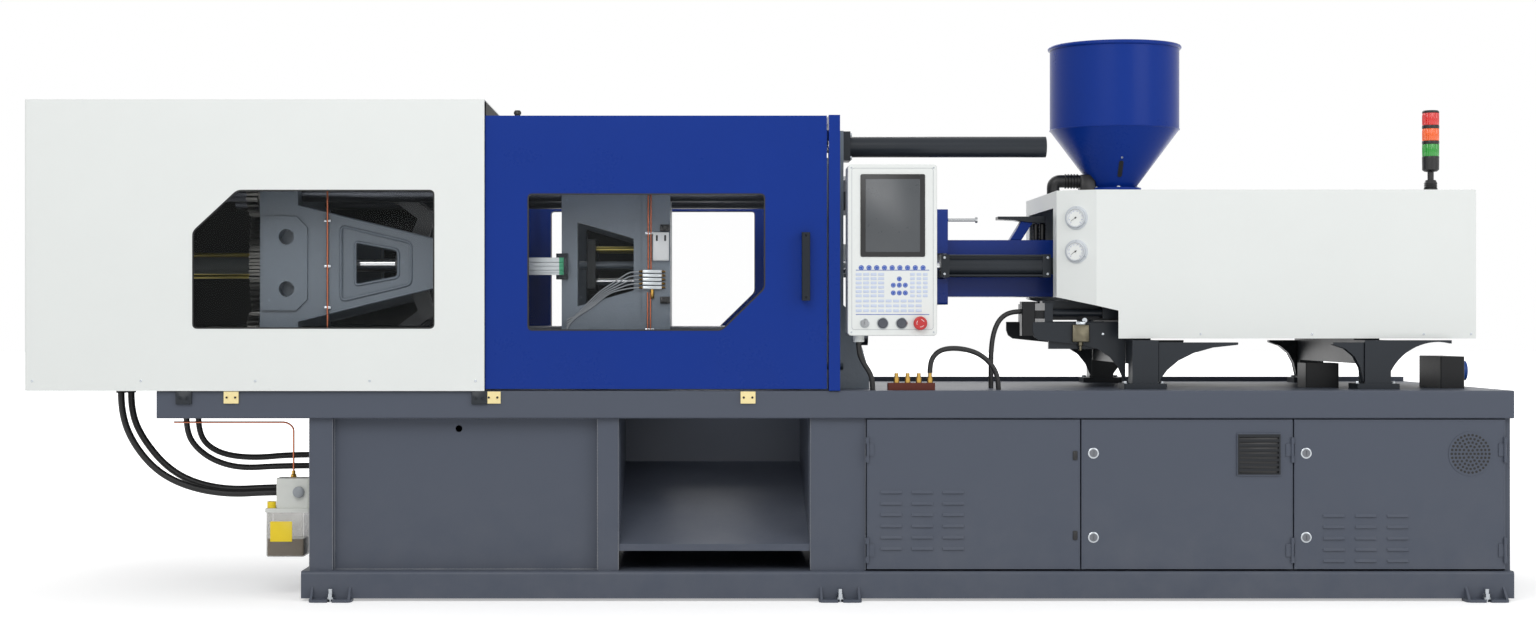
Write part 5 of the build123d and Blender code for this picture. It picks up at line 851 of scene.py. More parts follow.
box_cable = (
    (0.924, -0.320, 1.016),
    (0.890, -0.320, 1.016),
    (0.850, -0.324, 0.994),
    (0.826, -0.330, 0.950),
    (0.814, -0.338, 0.890),
    (0.812, -0.344, 0.815),
    (0.812, -0.344, bed_top),
)


def lay_hose(name, points, diameter, length, stiffness):
    """A round hose whose line is the smooth curve of its points."""
    data = bpy.data.curves.new(name, "CURVE")
    data.dimensions = "3D"
    data.bevel_depth = diameter / 2
    data.bevel_resolution = 5
    data.resolution_u = 12
    data.use_fill_caps = True
    line = data.splines.new("NURBS")
    line.points.add(len(points) - 1)
    line.points.foreach_set("co", np.column_stack([points, np.ones(len(points))]).ravel())
    line.order_u = 3
    line.use_endpoint_u = True
    hose = bpy.data.objects.new(name, data)
    bpy.context.scene.collection.objects.link(hose)
    data.materials.append(hose_rubber)
    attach(hose, "machine")
    return hose


hose_table = (
    ("clamp_hose_one", clamp_hose_points(-2.345, -0.350, 0.0), 0.025, 0.936, "stiff"),
    ("clamp_hose_two", clamp_hose_points(-2.317, -0.316, 0.014), 0.025, 0.897, "stiff"),
    ("inner_hose", inner_hose, 0.022, 0.621, "medium"),
    ("conduit", conduit, 0.022, 0.572, "medium"),
    ("panel_cable", panel_cable, 0.018, 0.182, "medium"),
    ("water_hose", water_hose, 0.018, 0.390, "medium"),
    ("box_cable", box_cable, 0.018, 0.342, "medium"),
)
hoses = [lay_hose(*row) for row in hose_table]
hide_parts("hoses")


# Windows: rubber trim round each opening

guard_window = (
    (-2.018, 0.957), (-1.176, 0.957), (-1.176, 1.438), (-1.863, 1.438), (-2.018, 1.294)
)
door_window = (
    (-0.847, 0.950), (-0.169, 0.950), (-0.019, 1.097), (-0.019, 1.426), (-0.847, 1.426)
)
window_corner = 0.015
trim_width = 0.005
trim_depth = 0.006
trim_proud = 0.0008

for side, sign in (("front", 1), ("rear", -1)):
    for kind, corners, face, body in (
        ("guard", guard_window, guard_face, "machine"),
        ("door", door_window, door_face, f"{side}_door"),
    ):
        outline = round_corners(corners, window_corner)
        trim = frame_sweep(outline, sign * (face - trim_proud), trim_width, sign * trim_depth)
        piece(f"{kind}_window_trim_{side}", [trim], rubber_and_shade_black, body)


# Control panel: bezel, screen, keys and rings

control_row = 0.556


def panel_point(dx, dz):
    """A place on the panel's face, from its upper left corner."""
    return panel_left + dx, panel_top - dz


def on_panel(profile, dx, dz, sides):
    """A turned shape standing on the panel's face."""
    x, z = panel_point(dx, dz)
    return turned(profile, (x, panel_face, z), to_front, sides)


def panel_plate(left, right, top, low, corner, high, edge, foot=0.0, steps=5):
    """A thin plate on the panel, from foot to high before its face."""
    x0, z1 = panel_point(left, top)
    x1, z0 = panel_point(right, low)
    outline = rounded(x0, x1, z0, z1, corner, steps)
    return slab(outline, panel_face - high, panel_face - foot, edge)


def dress_panel():
    """The dark bezel with its sunk screen, the membrane with its keys, and the control rings."""
    bezel = [panel_plate(0.044, 0.270, 0.035, 0.324, 0.006, 0.003, 0.0008)]
    first = piece("screen_bezel", bezel, black_plastic, "machine")
    glass = [panel_plate(0.062, 0.252, 0.052, 0.307, 0.003, 0.0038, 0.0003, foot=0.0028)]
    piece("screen_glass", glass, screen_glass, "machine")

    keys = [(0.047 + 0.027 * n, 0.362, 0.009) for n in range(9)]
    keys += [(0.180, 0.401, 0.0085)]
    keys += [(dx, dz, 0.0085) for dz in (0.423, 0.450) for dx in (0.159, 0.180, 0.201)]
    domes = []
    rings = []
    for dx, dz, r in keys:
        dome = ((0, 0), (r, 0), (r * 0.97, 0.0012), (r * 0.8, 0.0019), (0, 0.0022))
        domes.append(on_panel(dome, dx, dz, 24))
        ring = ((r * 0.55, 0.0019), (r * 0.60, 0.0026), (r * 0.66, 0.0019))
        rings.append(on_panel(ring, dx, dz, 20))
    piece("membrane_keys", domes, blue_key, "machine")
    piece("membrane_key_rings", rings, pale_key, "machine")

    bars = []
    for dz in (0.3705, 0.5255):
        bars.append(panel_plate(0.028, 0.285, dz - 0.0011, dz + 0.0011, 0.0008, 0.0006, 0.0002))
    piece("panel_lines", bars, blue_key, "machine")

    short_row = [(0.038 + 0.0262 * n, 0.0105) for n in range(4)]
    short_row += [(0.226 + 0.0225 * n, 0.008) for n in range(3)]
    full_row = [(0.038 + 0.0262 * n, 0.0105) for n in range(9)]
    rows = [(dz, short_row) for dz in (0.385, 0.400, 0.415, 0.430, 0.445, 0.460)]
    rows += [(dz, full_row) for dz in (0.478, 0.495, 0.512)]
    tall = 0.0048
    pads = []
    for dz, row in rows:
        for dx, half in row:
            place = (dx - half, dx + half, dz - tall, dz + tall)
            pads.append(panel_plate(*place, 0.0016, 0.0009, 0.0003, steps=3))
    piece("panel_pads", pads, pale_key, "machine")

    collars = []
    for dx, r, top in (
        (0.059, 0.0135, 0.0035),
        (0.122, 0.0175, 0.0035),
        (0.188, 0.0175, 0.0035),
        (0.252, 0.0135, 0.0008),
    ):
        wide = r + 0.0035
        collar = ((r, 0), (wide, 0), (wide, 0.6 * top), (r + 0.001, top), (r, 0.85 * top), (r, 0))
        collars.append(on_panel(collar, dx, control_row, 32))
    piece("control_collars", collars, alloy, "machine")

    x0, z0 = panel_point(0.014, 0.578)
    x1, z1 = panel_point(0.2985, 0.014)
    border = frame_sweep(rounded(x0, x1, z0, z1, 0.008), panel_face - 0.0005, 0.0011, 0.0006)
    piece("panel_border", [border], grey_plastic, "machine")

    screws = []
    for dx in (0.0125, 0.300):
        for dz in (0.0125, 0.5875):
            x, z = panel_point(dx, dz)
            screws.append(cap_screw(x, panel_face, z, to_front, 0.0032, 0.0016))
    piece("panel_screws", screws, zinc_plate, "machine")
    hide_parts("panel_face")


dress_panel()

button_cap = ((0, 0.0094), (0.0125, 0.0094), (0.0145, 0.0101), (0.0158, 0.0091))
for n, dx in ((1, 0.122), (2, 0.188)):
    cap = on_panel(button_cap, dx, control_row, 32)
    piece(f"button_cap_{n}", [cap], dark_button, f"push_button_{n}")

stop_place = panel_point(0.252, control_row)
arrows = []
for turn in range(3):
    angles = np.linspace(0.35, 1.45, 8) + turn * 2 * math.pi / 3
    arc = np.array(stop_place) + 0.013 * np.stack([np.cos(angles), np.sin(angles)], 1)
    arrows.append(swept(at_depth(arc, panel_face - 0.0252), 0.0009, 6))
piece("stop_marks", arrows, white_plastic, "emergency_stop")


# Pressure gauges on the folded face of the injection cover


def dress_gauges():
    """For each gauge a rim, a card with ticks, a needle and a clear front."""
    angle = math.atan2(0.070, 0.132)
    out = np.array((-math.sin(angle), -math.cos(angle), 0))
    side = np.array((math.cos(angle), -math.sin(angle), 0))

    def ray(degrees):
        """A direction on the dial, counted from its right."""
        t = math.radians(degrees)
        return math.cos(t) * side + math.sin(t) * np.array(upwards)

    rim = (
        (0.0305, 0.010), (0.0305, 0.0142), (0.0325, 0.0158), (0.0350, 0.0145), (0.0352, 0.002),
        (0.0340, 0.0),
    )
    flange = ((0.034, 0.0), (0.043, 0.0), (0.043, 0.002), (0.0415, 0.003), (0.034, 0.003))
    hub = ((0, 0.0115), (0.003, 0.0115), (0.003, 0.0133), (0, 0.0136))
    tick_count = 28
    rims, cards, ticks, needles, fronts, screws = [], [], [], [], [], []
    for z in (1.353, 1.232):
        centre = np.array((1.111, -0.415, z))
        rims += [turned(rim, centre, out, 40), turned(flange, centre, out, 40)]
        cards.append(turned(((0, 0.0112), (0.0304, 0.0112)), centre, out, 32))
        fronts.append(turned(((0, 0.0140), (0.0304, 0.0140)), centre, out, 32))
        on_card = centre + out * 0.0116
        for k in range(tick_count):
            start, radius = (0.0215, 0.0005) if k % 3 == 0 else (0.0245, 0.00032)
            way = ray(225 - 270 * k / (tick_count - 1))
            ticks.append(swept((on_card + way * start, on_card + way * 0.0275), radius, 4))
        way = ray(215)
        over_card = centre + out * 0.0125
        needles.append(swept((over_card - way * 0.006, over_card + way * 0.022), 0.0006, 6))
        needles.append(turned(hub, centre, out, 16))
        for degrees in (90, 210, 330):
            spot = centre + out * 0.0028 + 0.0388 * ray(degrees)
            screws.append(cap_screw(*spot, out, 0.0024, 0.0018))
    piece("gauge_rims", rims, gauge_rim, "carriage")
    piece("gauge_cards", cards, dial_card, "carriage")
    piece("gauge_ticks", ticks, blue_key, "carriage")
    piece("gauge_needles", needles, black_plastic, "carriage")
    piece("gauge_fronts", fronts, clear_sheet, "carriage")
    piece("gauge_screws", screws, zinc_plate, "carriage")


dress_gauges()


# Signal light


def dress_signal_light():
    """A ribbed foot, a stem, black rings and three fluted lenses in red, amber and green."""
    x, y, z = 2.383, -0.425, 1.453

    def standing(profile, sides=40):
        """A turned shape on the light's axis."""
        return turned(profile, (x, y, z), upwards, sides)

    low_ribs = (
        (0, 0), (0.024, 0), (0.024, 0.006), (0.0215, 0.008), (0.0235, 0.011), (0.0215, 0.014),
        (0.0235, 0.017),
    )
    high_ribs = (
        (0.0235, 0.017), (0.0215, 0.020), (0.0235, 0.023), (0.0215, 0.027), (0.018, 0.035),
        (0.011, 0.036),
    )
    stem = (
        (0.011, 0.036), (0.011, 0.064), (0.022, 0.066), (0.0295, 0.072), (0.0300, 0.108),
        (0, 0.108),
    )
    housing = [standing(profile, 32) for profile in (low_ribs, high_ribs, stem)]
    t = np.linspace(0, 2 * np.pi, 96, endpoint=False)
    levels = np.array((0.0, 0.002, 0.022, 0.042, 0.044))[:, None]
    swell = np.array((0.97, 1.0, 1.006, 1.0, 0.97))[:, None]
    fluted = (0.0288 + 0.0007 * np.cos(24 * t)) * swell
    for name, finish, base in (
        ("green_lens", green_lens, 0.120),
        ("amber_lens", amber_lens, 0.176),
        ("red_lens", red_lens, 0.232),
    ):
        heights = z + base + levels + 0 * fluted
        points = np.stack([x + fluted * np.cos(t), y + fluted * np.sin(t), heights], -1)
        lens = (points.reshape(-1, 3), capped_quads(len(levels), len(t)))
        piece(name, [lens], finish, "carriage")
        ring = (
            (0, base - 0.012), (0.0295, base - 0.012), (0.030, base - 0.010),
            (0.030, base - 0.002), (0.0293, base), (0, base),
        )
        housing.append(standing(ring))
    cap = ((0, 0.276), (0.0295, 0.276), (0.0295, 0.281), (0.026, 0.285), (0, 0.286))
    housing.append(standing(cap))
    body = piece("signal_housing", housing, black_plastic, "carriage")
    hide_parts("signal_light")


dress_signal_light()


# Hopper: sight slot, screws, seam and bead


def dress_hopper():
    """A sight slot with a screw on the cone, bolts on the foot flange, a seam and a bead."""
    x, foot_radius, foot_height = 1.323, 0.079, 1.483
    bead_height = 1.702
    slope = math.atan2(0.241 - foot_radius, bead_height - foot_height)
    out = np.array((0, -math.cos(slope), -math.sin(slope)))
    along = np.array((0, -math.sin(slope), math.cos(slope)))
    foot = np.array((x, -foot_radius, foot_height))
    low, high, half = 0.045, 0.118, 0.0085
    straight = (high - low) / 2 - half
    t = np.linspace(0, 2 * np.pi, 32, endpoint=False)
    height = (low + high) / 2 + straight * np.sign(np.sin(t)) + half * np.sin(t)
    width = half * np.cos(t)
    ring = foot + height[:, None] * along + width[:, None] * np.array(to_right)
    slot = np.concatenate([ring - 0.001 * out, ring + 0.0015 * out])
    slot_shape = (slot, capped_quads(2, len(t)))
    piece("sight_slot", [slot_shape], black_plastic, "carriage")
    spot = foot + along * 0.133 + out * 0.0005
    screw = cap_screw(*spot, out, 0.004, 0.003)
    piece("slot_screw", [screw], zinc_plate, "carriage")
    bolts = []
    for degrees in range(30, 360, 60):
        t = math.radians(degrees)
        place = (x + 0.088 * math.cos(t), 0.088 * math.sin(t), foot_height)
        bolts += hex_bolt(*place, upwards, 0.006, 0.005)
    piece("hopper_bolts", bolts, zinc_plate, "carriage")
    seam = [(x, 0.2425, z) for z in np.linspace(1.71, 1.99, 40)]
    piece("hopper_seam", [swept(seam, 0.0022, 8)], blue_enamel, "carriage")
    t = np.linspace(0, 2 * np.pi, 73)
    circle = np.stack([x + 0.2412 * np.cos(t), 0.2412 * np.sin(t)], 1)
    bead = swept(at_depth(circle, bead_height, "xy"), 0.0022, 8)
    piece("hopper_bead", [bead], blue_enamel, "carriage")


dress_hopper()


# Clamp end: lubrication pipes, cast edges, distributor, transducer and guard screws


def pipe(name, corners, radius, body):
    """A rigid copper pipe bent at its corners."""
    piece(name, [swept(bent(corners, 0.02), radius, 10)], copper, body)


def pipe_clips(name, x, y, heights, body, width=0.012):
    """Small saddle clips over a pipe, each a strip with a screw."""
    parts = []
    for z in heights:
        parts.append(box(x - width, x + width, y - 0.0055, y + 0.001, z - 0.005, z + 0.005, 0.0008))
        parts.append(cap_screw(x + width * 0.6, y - 0.0055, z, to_front, 0.003, 0.002))
    piece(name, parts, zinc_plate, body)


tail_route = (
    (-1.690, -0.355, 1.560),
    (-1.660, -0.379, 1.530),
    (-1.592, -0.379, 1.500),
    (-1.592, -0.379, 0.900),
    (-1.660, -0.379, 0.860),
    (-1.690, -0.360, 0.850),
)
pipe("tail_pipe_front", tail_route, 0.0035, "tail_platen")
pipe_clips("tail_pipe_clips", -1.592, -0.3755, (1.345, 1.18, 1.03), "tail_platen")
platen_pipe_depth = -0.376
for n, x in ((1, -0.432), (2, -0.422)):
    high = ((x, 1.545), (x, 1.168))
    low = ((x - 0.002, 1.085), (x - 0.002, 0.870), (x - 0.03, 0.845))
    for name, route in ((f"platen_pipe_{n}", high), (f"platen_low_pipe_{n}", low)):
        pipe(name, at_depth(route, platen_pipe_depth), 0.0028, "moving_platen")
pipe_clips("platen_pipe_clips", -0.427, -0.3725, (1.49, 1.30, 0.95), "moving_platen", 0.016)


def dress_arms():
    """Rounded cast edges round the sunk field, the opening and the slopes of each side arm, and a
    near-black sheet of painted shade behind the moving platen's opening.
    """
    field = ((-1.545, 1.053), (-1.290, 1.114), (-1.290, 1.266), (-1.545, 1.327))
    hole = ((-1.494, 1.110), (-1.337, 1.140), (-1.337, 1.240), (-1.494, 1.270))
    beads = []
    for sy in both_sides:
        for corners, radius, depth in ((field, 0.022, 0.3705), (hole, 0.016, 0.3625)):
            ring = round_corners(corners, radius, 6)
            ring = np.concatenate([ring, ring[:1]])
            beads.append(swept(at_depth(ring, sy * depth), 0.0055, 10))
        for sz in both_sides:
            slope = ((-1.700, axis_height + sz * 0.2085), (-1.214, axis_height + sz * 0.0885))
            beads.append(swept(at_depth(slope, sy * 0.367), 0.0045, 10))
    piece("arm_edges", beads, platen_casting, "tail_platen")
    # Painted shade: a thin near-black sheet in the moving platen's rear opening, standing in for
    # the dark space behind it.
    cover = ((-0.476, 1.078), (-0.476, 1.292), (-0.698, 1.356), (-0.698, 1.019))
    shade_sheet_shape = slab(cover, 0.3605, 0.3625, 0.0005)
    piece("platen_opening_shade_sheet", [shade_sheet_shape], rubber_and_shade_black, "moving_platen")


dress_arms()


def dress_distributor():
    """Five brass-ended layers of a lubrication distributor, its white block and its thin lines."""
    fitting = ((0, 0), (0.005, 0), (0.005, 0.007), (0.0038, 0.008), (0.0038, 0.013), (0, 0.013))
    fitting_depth = -0.378
    lowest_layer = 1.096
    layers, ends, lines = [], [], []
    for k in range(5):
        z = lowest_layer + 0.0145 * k
        layers.append(box(-0.452, -0.383, -0.386, -0.369, z, z + 0.0125, 0.0012))
        for x, way in ((-0.452, -1), (-0.383, 1)):
            ends.append(turned(fitting, (x, fitting_depth, z + 0.006), (way, 0, 0), 6))
        route = (
            (-0.465, fitting_depth, z + 0.006),
            (-0.500, fitting_depth, z + 0.004),
            (-0.570 - 0.01 * k, -0.372, 1.085 + 0.0006 * k),
            (-0.650 - 0.014 * k, -0.366, 1.020 - 0.0072 * k),
            (-0.728, -0.366, 0.985 - 0.009 * k),
        )
        lines.append(swept(bent(route, 0.03), 0.0022, 8))
    piece("distributor_layers", layers, alloy, "moving_platen")
    piece("distributor_ends", ends, brass, "moving_platen")
    piece("distributor_lines", lines, grey_plastic, "moving_platen")
    stem_profile = ((0, 0), (0.007, 0), (0.007, 0.03), (0.004, 0.035), (0, 0.035))
    stem = turned(stem_profile, (-0.4175, fitting_depth, lowest_layer), downwards, 16)
    piece("distributor_stem", [stem], brass, "moving_platen")
    block = box(-0.4146, -0.3567, -0.392, -0.369, 1.200, 1.302, 0.003)
    piece("white_block", [block], white_plastic, "moving_platen")
    # Painted shade: the two slots are thin dark patches on the block's face, standing in for the
    # shade inside them.
    slots = []
    for x in (-0.404, -0.374):
        slots.append(slab(rounded(x, x + 0.007, 1.270, 1.292, 0.003), -0.3925, -0.391, 0.0002))
    piece("block_slot_shade", slots, rubber_and_shade_black, "moving_platen")
    knob = (
        (0, 0), (0.013, 0), (0.013, 0.004), (0.009, 0.007), (0.009, 0.026), (0.007, 0.028),
        (0, 0.028),
    )
    knobs = []
    for z in (1.318, 1.057):
        knobs.append(turned(knob, (-0.371, -0.370, z), to_front, 20))
        knobs.append(box(-0.389, -0.353, -0.384, -0.374, z - 0.0125, z + 0.0125, 0.002))
    piece("platen_knobs", knobs, black_plastic, "moving_platen")


dress_distributor()


def dress_transducer():
    """A ribbed alloy length transducer with a green end, on a bracket of the moving platen."""
    low, high = 1.148, 1.210
    rows = np.array((0.0, 0.006, 0.008, 0.016, 0.018, 0.030, 0.032, 0.044, 0.046, 0.054, 0.062))
    dips = np.array((0.0, 0.0, 0.003, 0.003, 0.0, 0.0, 0.003, 0.003, 0.0, 0.0, 0.0))
    ribbed = np.stack([-0.412 + dips, low + rows], 1)
    outline = np.concatenate([ribbed, ((-0.376, high), (-0.376, low))])
    body = slab(outline, -0.868, -0.752, 0, "yz")
    piece("transducer_body", [body], alloy, "moving_platen", 20)
    end = slab(outline, -0.752, -0.736, 0, "yz")
    piece("transducer_end", [end], green_plastic, "moving_platen", 20)
    bracket = [
        box(-0.735, -0.722, -0.414, -0.359, 1.150, 1.208, 0.001),
        box(-0.765, -0.722, -0.377, -0.3585, 1.132, 1.226, 0.001),
    ]
    piece("transducer_bracket", bracket, black_enamel, "moving_platen")


dress_transducer()


def dress_guard():
    """Screws along the guard's lower edge, black angles under it, and the front door's fittings."""
    screws = screw_pairs((-2.58, -2.2, -1.8, -1.4, -1.03), -guard_face, 0.772, 0.0045)
    piece("guard_screws", screws, zinc_plate, "machine")
    guide_face = 0.652
    angles = []
    for x in (-2.08, -1.045):
        angles.append(box(x, x + 0.056, -guide_face, -0.639, 0.690, 0.737, 0.002))
        for dx in (0.015, 0.041):
            angles.append(cap_screw(x + dx, -guide_face, 0.712, to_front, 0.005, 0.004))
    piece("guard_angles", angles, black_enamel, "machine")
    # Painted shade: each screw socket is a flat dark disc, standing in for the shade inside the
    # hollow.
    hole = ((0, 0.0003), (0.0034, 0.0003), (0.0042, 0.0))
    sockets = []
    for x in (-1.886, -0.969, -0.077):
        for dx in (-0.015, 0.015):
            for sy in both_sides:
                sockets.append(turned(hole, (x + dx, sy * guide_face, 0.714), (0, sy, 0), 12))
    piece("guide_socket_shade_discs", sockets, rubber_and_shade_black, "machine")
    knob_profile = (
        (0, 0), (0.010, 0), (0.010, 0.004), (0.013, 0.006), (0.013, 0.014), (0.009, 0.019),
        (0, 0.020),
    )
    knob = turned(knob_profile, (-0.885, -0.630, 1.701), upwards, 24)
    piece("door_top_knob", [knob], black_plastic, "front_door")
    grips = [cap_screw(0.124, -0.6888, z, to_front, 0.004, 0.0012) for z in (1.064, 1.280)]
    piece("handle_screws", grips, zinc_plate, "front_door")


dress_guard()


# Bed: weld beads, vents, latches and small screws


def weld(start, end, radius=0.003):
    """A weld bead: a rod whose radius swells with each ripple, r*(1 + 0.25*cos(k*s))."""
    start, end = np.array(start, float), np.array(end, float)
    ripple = 0.012
    sides = 6
    length = np.linalg.norm(end - start)
    s = np.linspace(0, 1, int(length / 0.004))
    path = start + s[:, None] * (end - start)
    points, quads = swept(path, radius, sides)
    centre = np.concatenate([path[:1], path, path[-1:]])[:, None]
    swell = np.concatenate([[0], 1 + 0.25 * np.cos(s * length * 2 * np.pi / ripple), [0]])
    rings = centre + (points.reshape(-1, sides, 3) - centre) * swell[:, None, None]
    return rings.reshape(-1, 3), quads


def dress_bed():
    """Weld beads, dark discs of painted shade for the round vent's holes, the grille's back, door
    edges, latches and collars.
    """
    x0, x1, z0, z1 = -1.535, -0.606, 0.106, 0.639
    top, low = ((x0, z1), (x1, z1)), ((x0, z0), (x1, z0))
    left, right = ((x0, z0), (x0, z1)), ((x1, z0), (x1, z1))
    beads = []
    for y in (-0.580, 0.580):
        beads += [weld(*at_depth(run, y)) for run in (top, left, right, low)]
    piece("recess_welds", beads, weld_metal, "machine")
    sheet = [
        box(-0.530, 0.141, 0.116, 0.119, 0.106, 0.440, 0.0005),
        box(-0.530, 0.141, 0.100, 0.119, 0.1055, 0.1085, 0.0005),
    ]
    piece("chute_under_sheet", sheet, bed_enamel, "machine")
    long_beads = []
    for x in (bed_end, -1.536, -0.605, -0.532, 0.143, 0.336):
        long_beads.append(weld((x, -0.615, 0.108), (x, -0.615, 0.638), 0.0018))
    piece("post_welds", long_beads, weld_metal, "machine")

    # Painted shade: each vent hole is a flat dark disc on the door, standing in for the shade
    # inside the hole.
    hole = ((0, 0.0006), (0.0046, 0.0006), (0.0046, 0.0))
    holes = []
    for radius, count in ((0.0, 1), (0.014, 6), (0.027, 12), (0.040, 18), (0.053, 24), (0.066, 30)):
        for k in range(count):
            t = 2 * math.pi * k / count
            place = (2.456 + radius * math.cos(t), -0.634, 0.516 + radius * math.sin(t))
            holes.append(turned(hole, place, to_front, 8))
    piece("vent_hole_shade_discs", holes, rubber_and_shade_black, "cabinet_door_3")
    grille_back = box(1.639, 1.789, -0.6345, -0.6322, 0.443, 0.585, 0.0005)
    piece("grille_back", [grille_back], black_plastic, "cabinet_door_2")
    for n, x0, x1 in ((1, 0.346, 1.082), (2, 1.098, 1.828), (3, 1.844, 2.573)):
        edge = frame_sweep(rounded(x0, x1, 0.118, 0.630, 0.004), -0.6323, 0.0012, 0.0008)
        piece(f"door_edge_{n}", [edge], bed_enamel, f"cabinet_door_{n}")
    latches = []
    for z in (0.51, 0.23):
        outline = rounded(1.062, 1.078, z - 0.016, z + 0.016, 0.003)
        latches.append(slab(outline, -0.636, -0.631, 0.001))
    piece("door_latches", latches, black_plastic, "cabinet_door_1")
    collar = ((0.0142, 0.0), (0.019, 0.0), (0.019, 0.002), (0.017, 0.0032), (0.0142, 0.0032))
    for n, x in ((2, 1.134), (3, 1.880)):
        collars = [turned(collar, (x, -0.632, z), to_front, 28) for z in (0.518, 0.223)]
        piece(f"lock_collars_{n}", collars, zinc_plate, f"cabinet_door_{n}")


dress_bed()


# Lubrication pump: oil, blank label and pipes


def dress_pump():
    """Oil in the lower part of the bowl, a blank yellow label, fittings and a pipe."""
    x0 = bed_end - 0.170
    bowl = rounded(x0, x0 + 0.129, -0.504, -0.386, 0.008)
    piece("bowl_oil", [slab(bowl, 0.1445, 0.205, 0.002, "xy")], oil, "machine")
    ribs = [(0.0154 + 0.0006 * (k % 2), 0.0002 + 0.0019 * k) for k in range(13)]
    cap_profile = [(0, 0.0001), *ribs, (0.012, 0.0245), (0, 0.0250)]
    cap = turned(cap_profile, (-1.775, -0.480, 0.314), upwards, 28)
    piece("pump_cap", [cap], yellow_plastic, "machine")
    label_outline = rounded(x0 + 0.012, x0 + 0.090, 0.196, 0.268, 0.003)
    label = slab(label_outline, -0.5090, -0.5082, 0.0001)
    piece("bowl_label", [label], yellow_plastic, "machine")
    pipe_x, pipe_y = -1.705, -0.430
    nipple = ((0, 0), (0.011, 0), (0.011, 0.010), (0.007, 0.012), (0.007, 0.024), (0, 0.024))
    fitting = turned(nipple, (pipe_x, pipe_y, 0.420), upwards, 6)
    piece("pump_fitting", [fitting], brass, "machine")
    route = (
        (pipe_x, pipe_y, 0.440),
        (pipe_x, pipe_y, 0.600),
        (-1.730, pipe_y, 0.618),
        (-2.135, pipe_y, 0.618),
    )
    pipe("pump_pipe", route, 0.0032, "machine")
    head_profile = ((0, 0), (0.020, 0), (0.020, 0.014), (0.014, 0.018), (0, 0.018))
    head = turned(head_profile, (-1.675, -0.495, 0.372), to_front, 24)
    piece("pump_button", [head], grey_plastic, "machine")


dress_pump()


# Injection side: limit valve, base castings, shelf, elbow and screws

base_nose = (
    (0.961, 0.978), (0.961, 0.945), (0.968, 0.925), (0.985, 0.913), (1.060, 0.905),
    (1.140, 0.897), (1.200, 0.880), (1.245, 0.850), (1.275, 0.812), (1.291, 0.775),
    (1.299, 0.762), (1.299, 0.978),
)
right_web = (
    (1.394, 0.905), (1.394, 0.762), (1.402, 0.775), (1.425, 0.806), (1.465, 0.840),
    (1.520, 0.868), (1.590, 0.888), (1.680, 0.898), (1.680, 0.905),
)
left_web = (
    (2.130, 0.905), (2.020, 0.905), (2.020, 0.898), (2.062, 0.884), (2.096, 0.856),
    (2.118, 0.815), (2.130, 0.762),
)
shelf_outline = (
    (0.867, 1.371), (1.043, 1.371), (1.043, 1.345), (0.980, 1.349), (0.930, 1.357),
    (0.867, 1.360),
)
bracket_outline = (
    (0.912, barrel_bracket_top), (0.955, barrel_bracket_top), (0.998, 1.350), (0.955, 1.353),
)


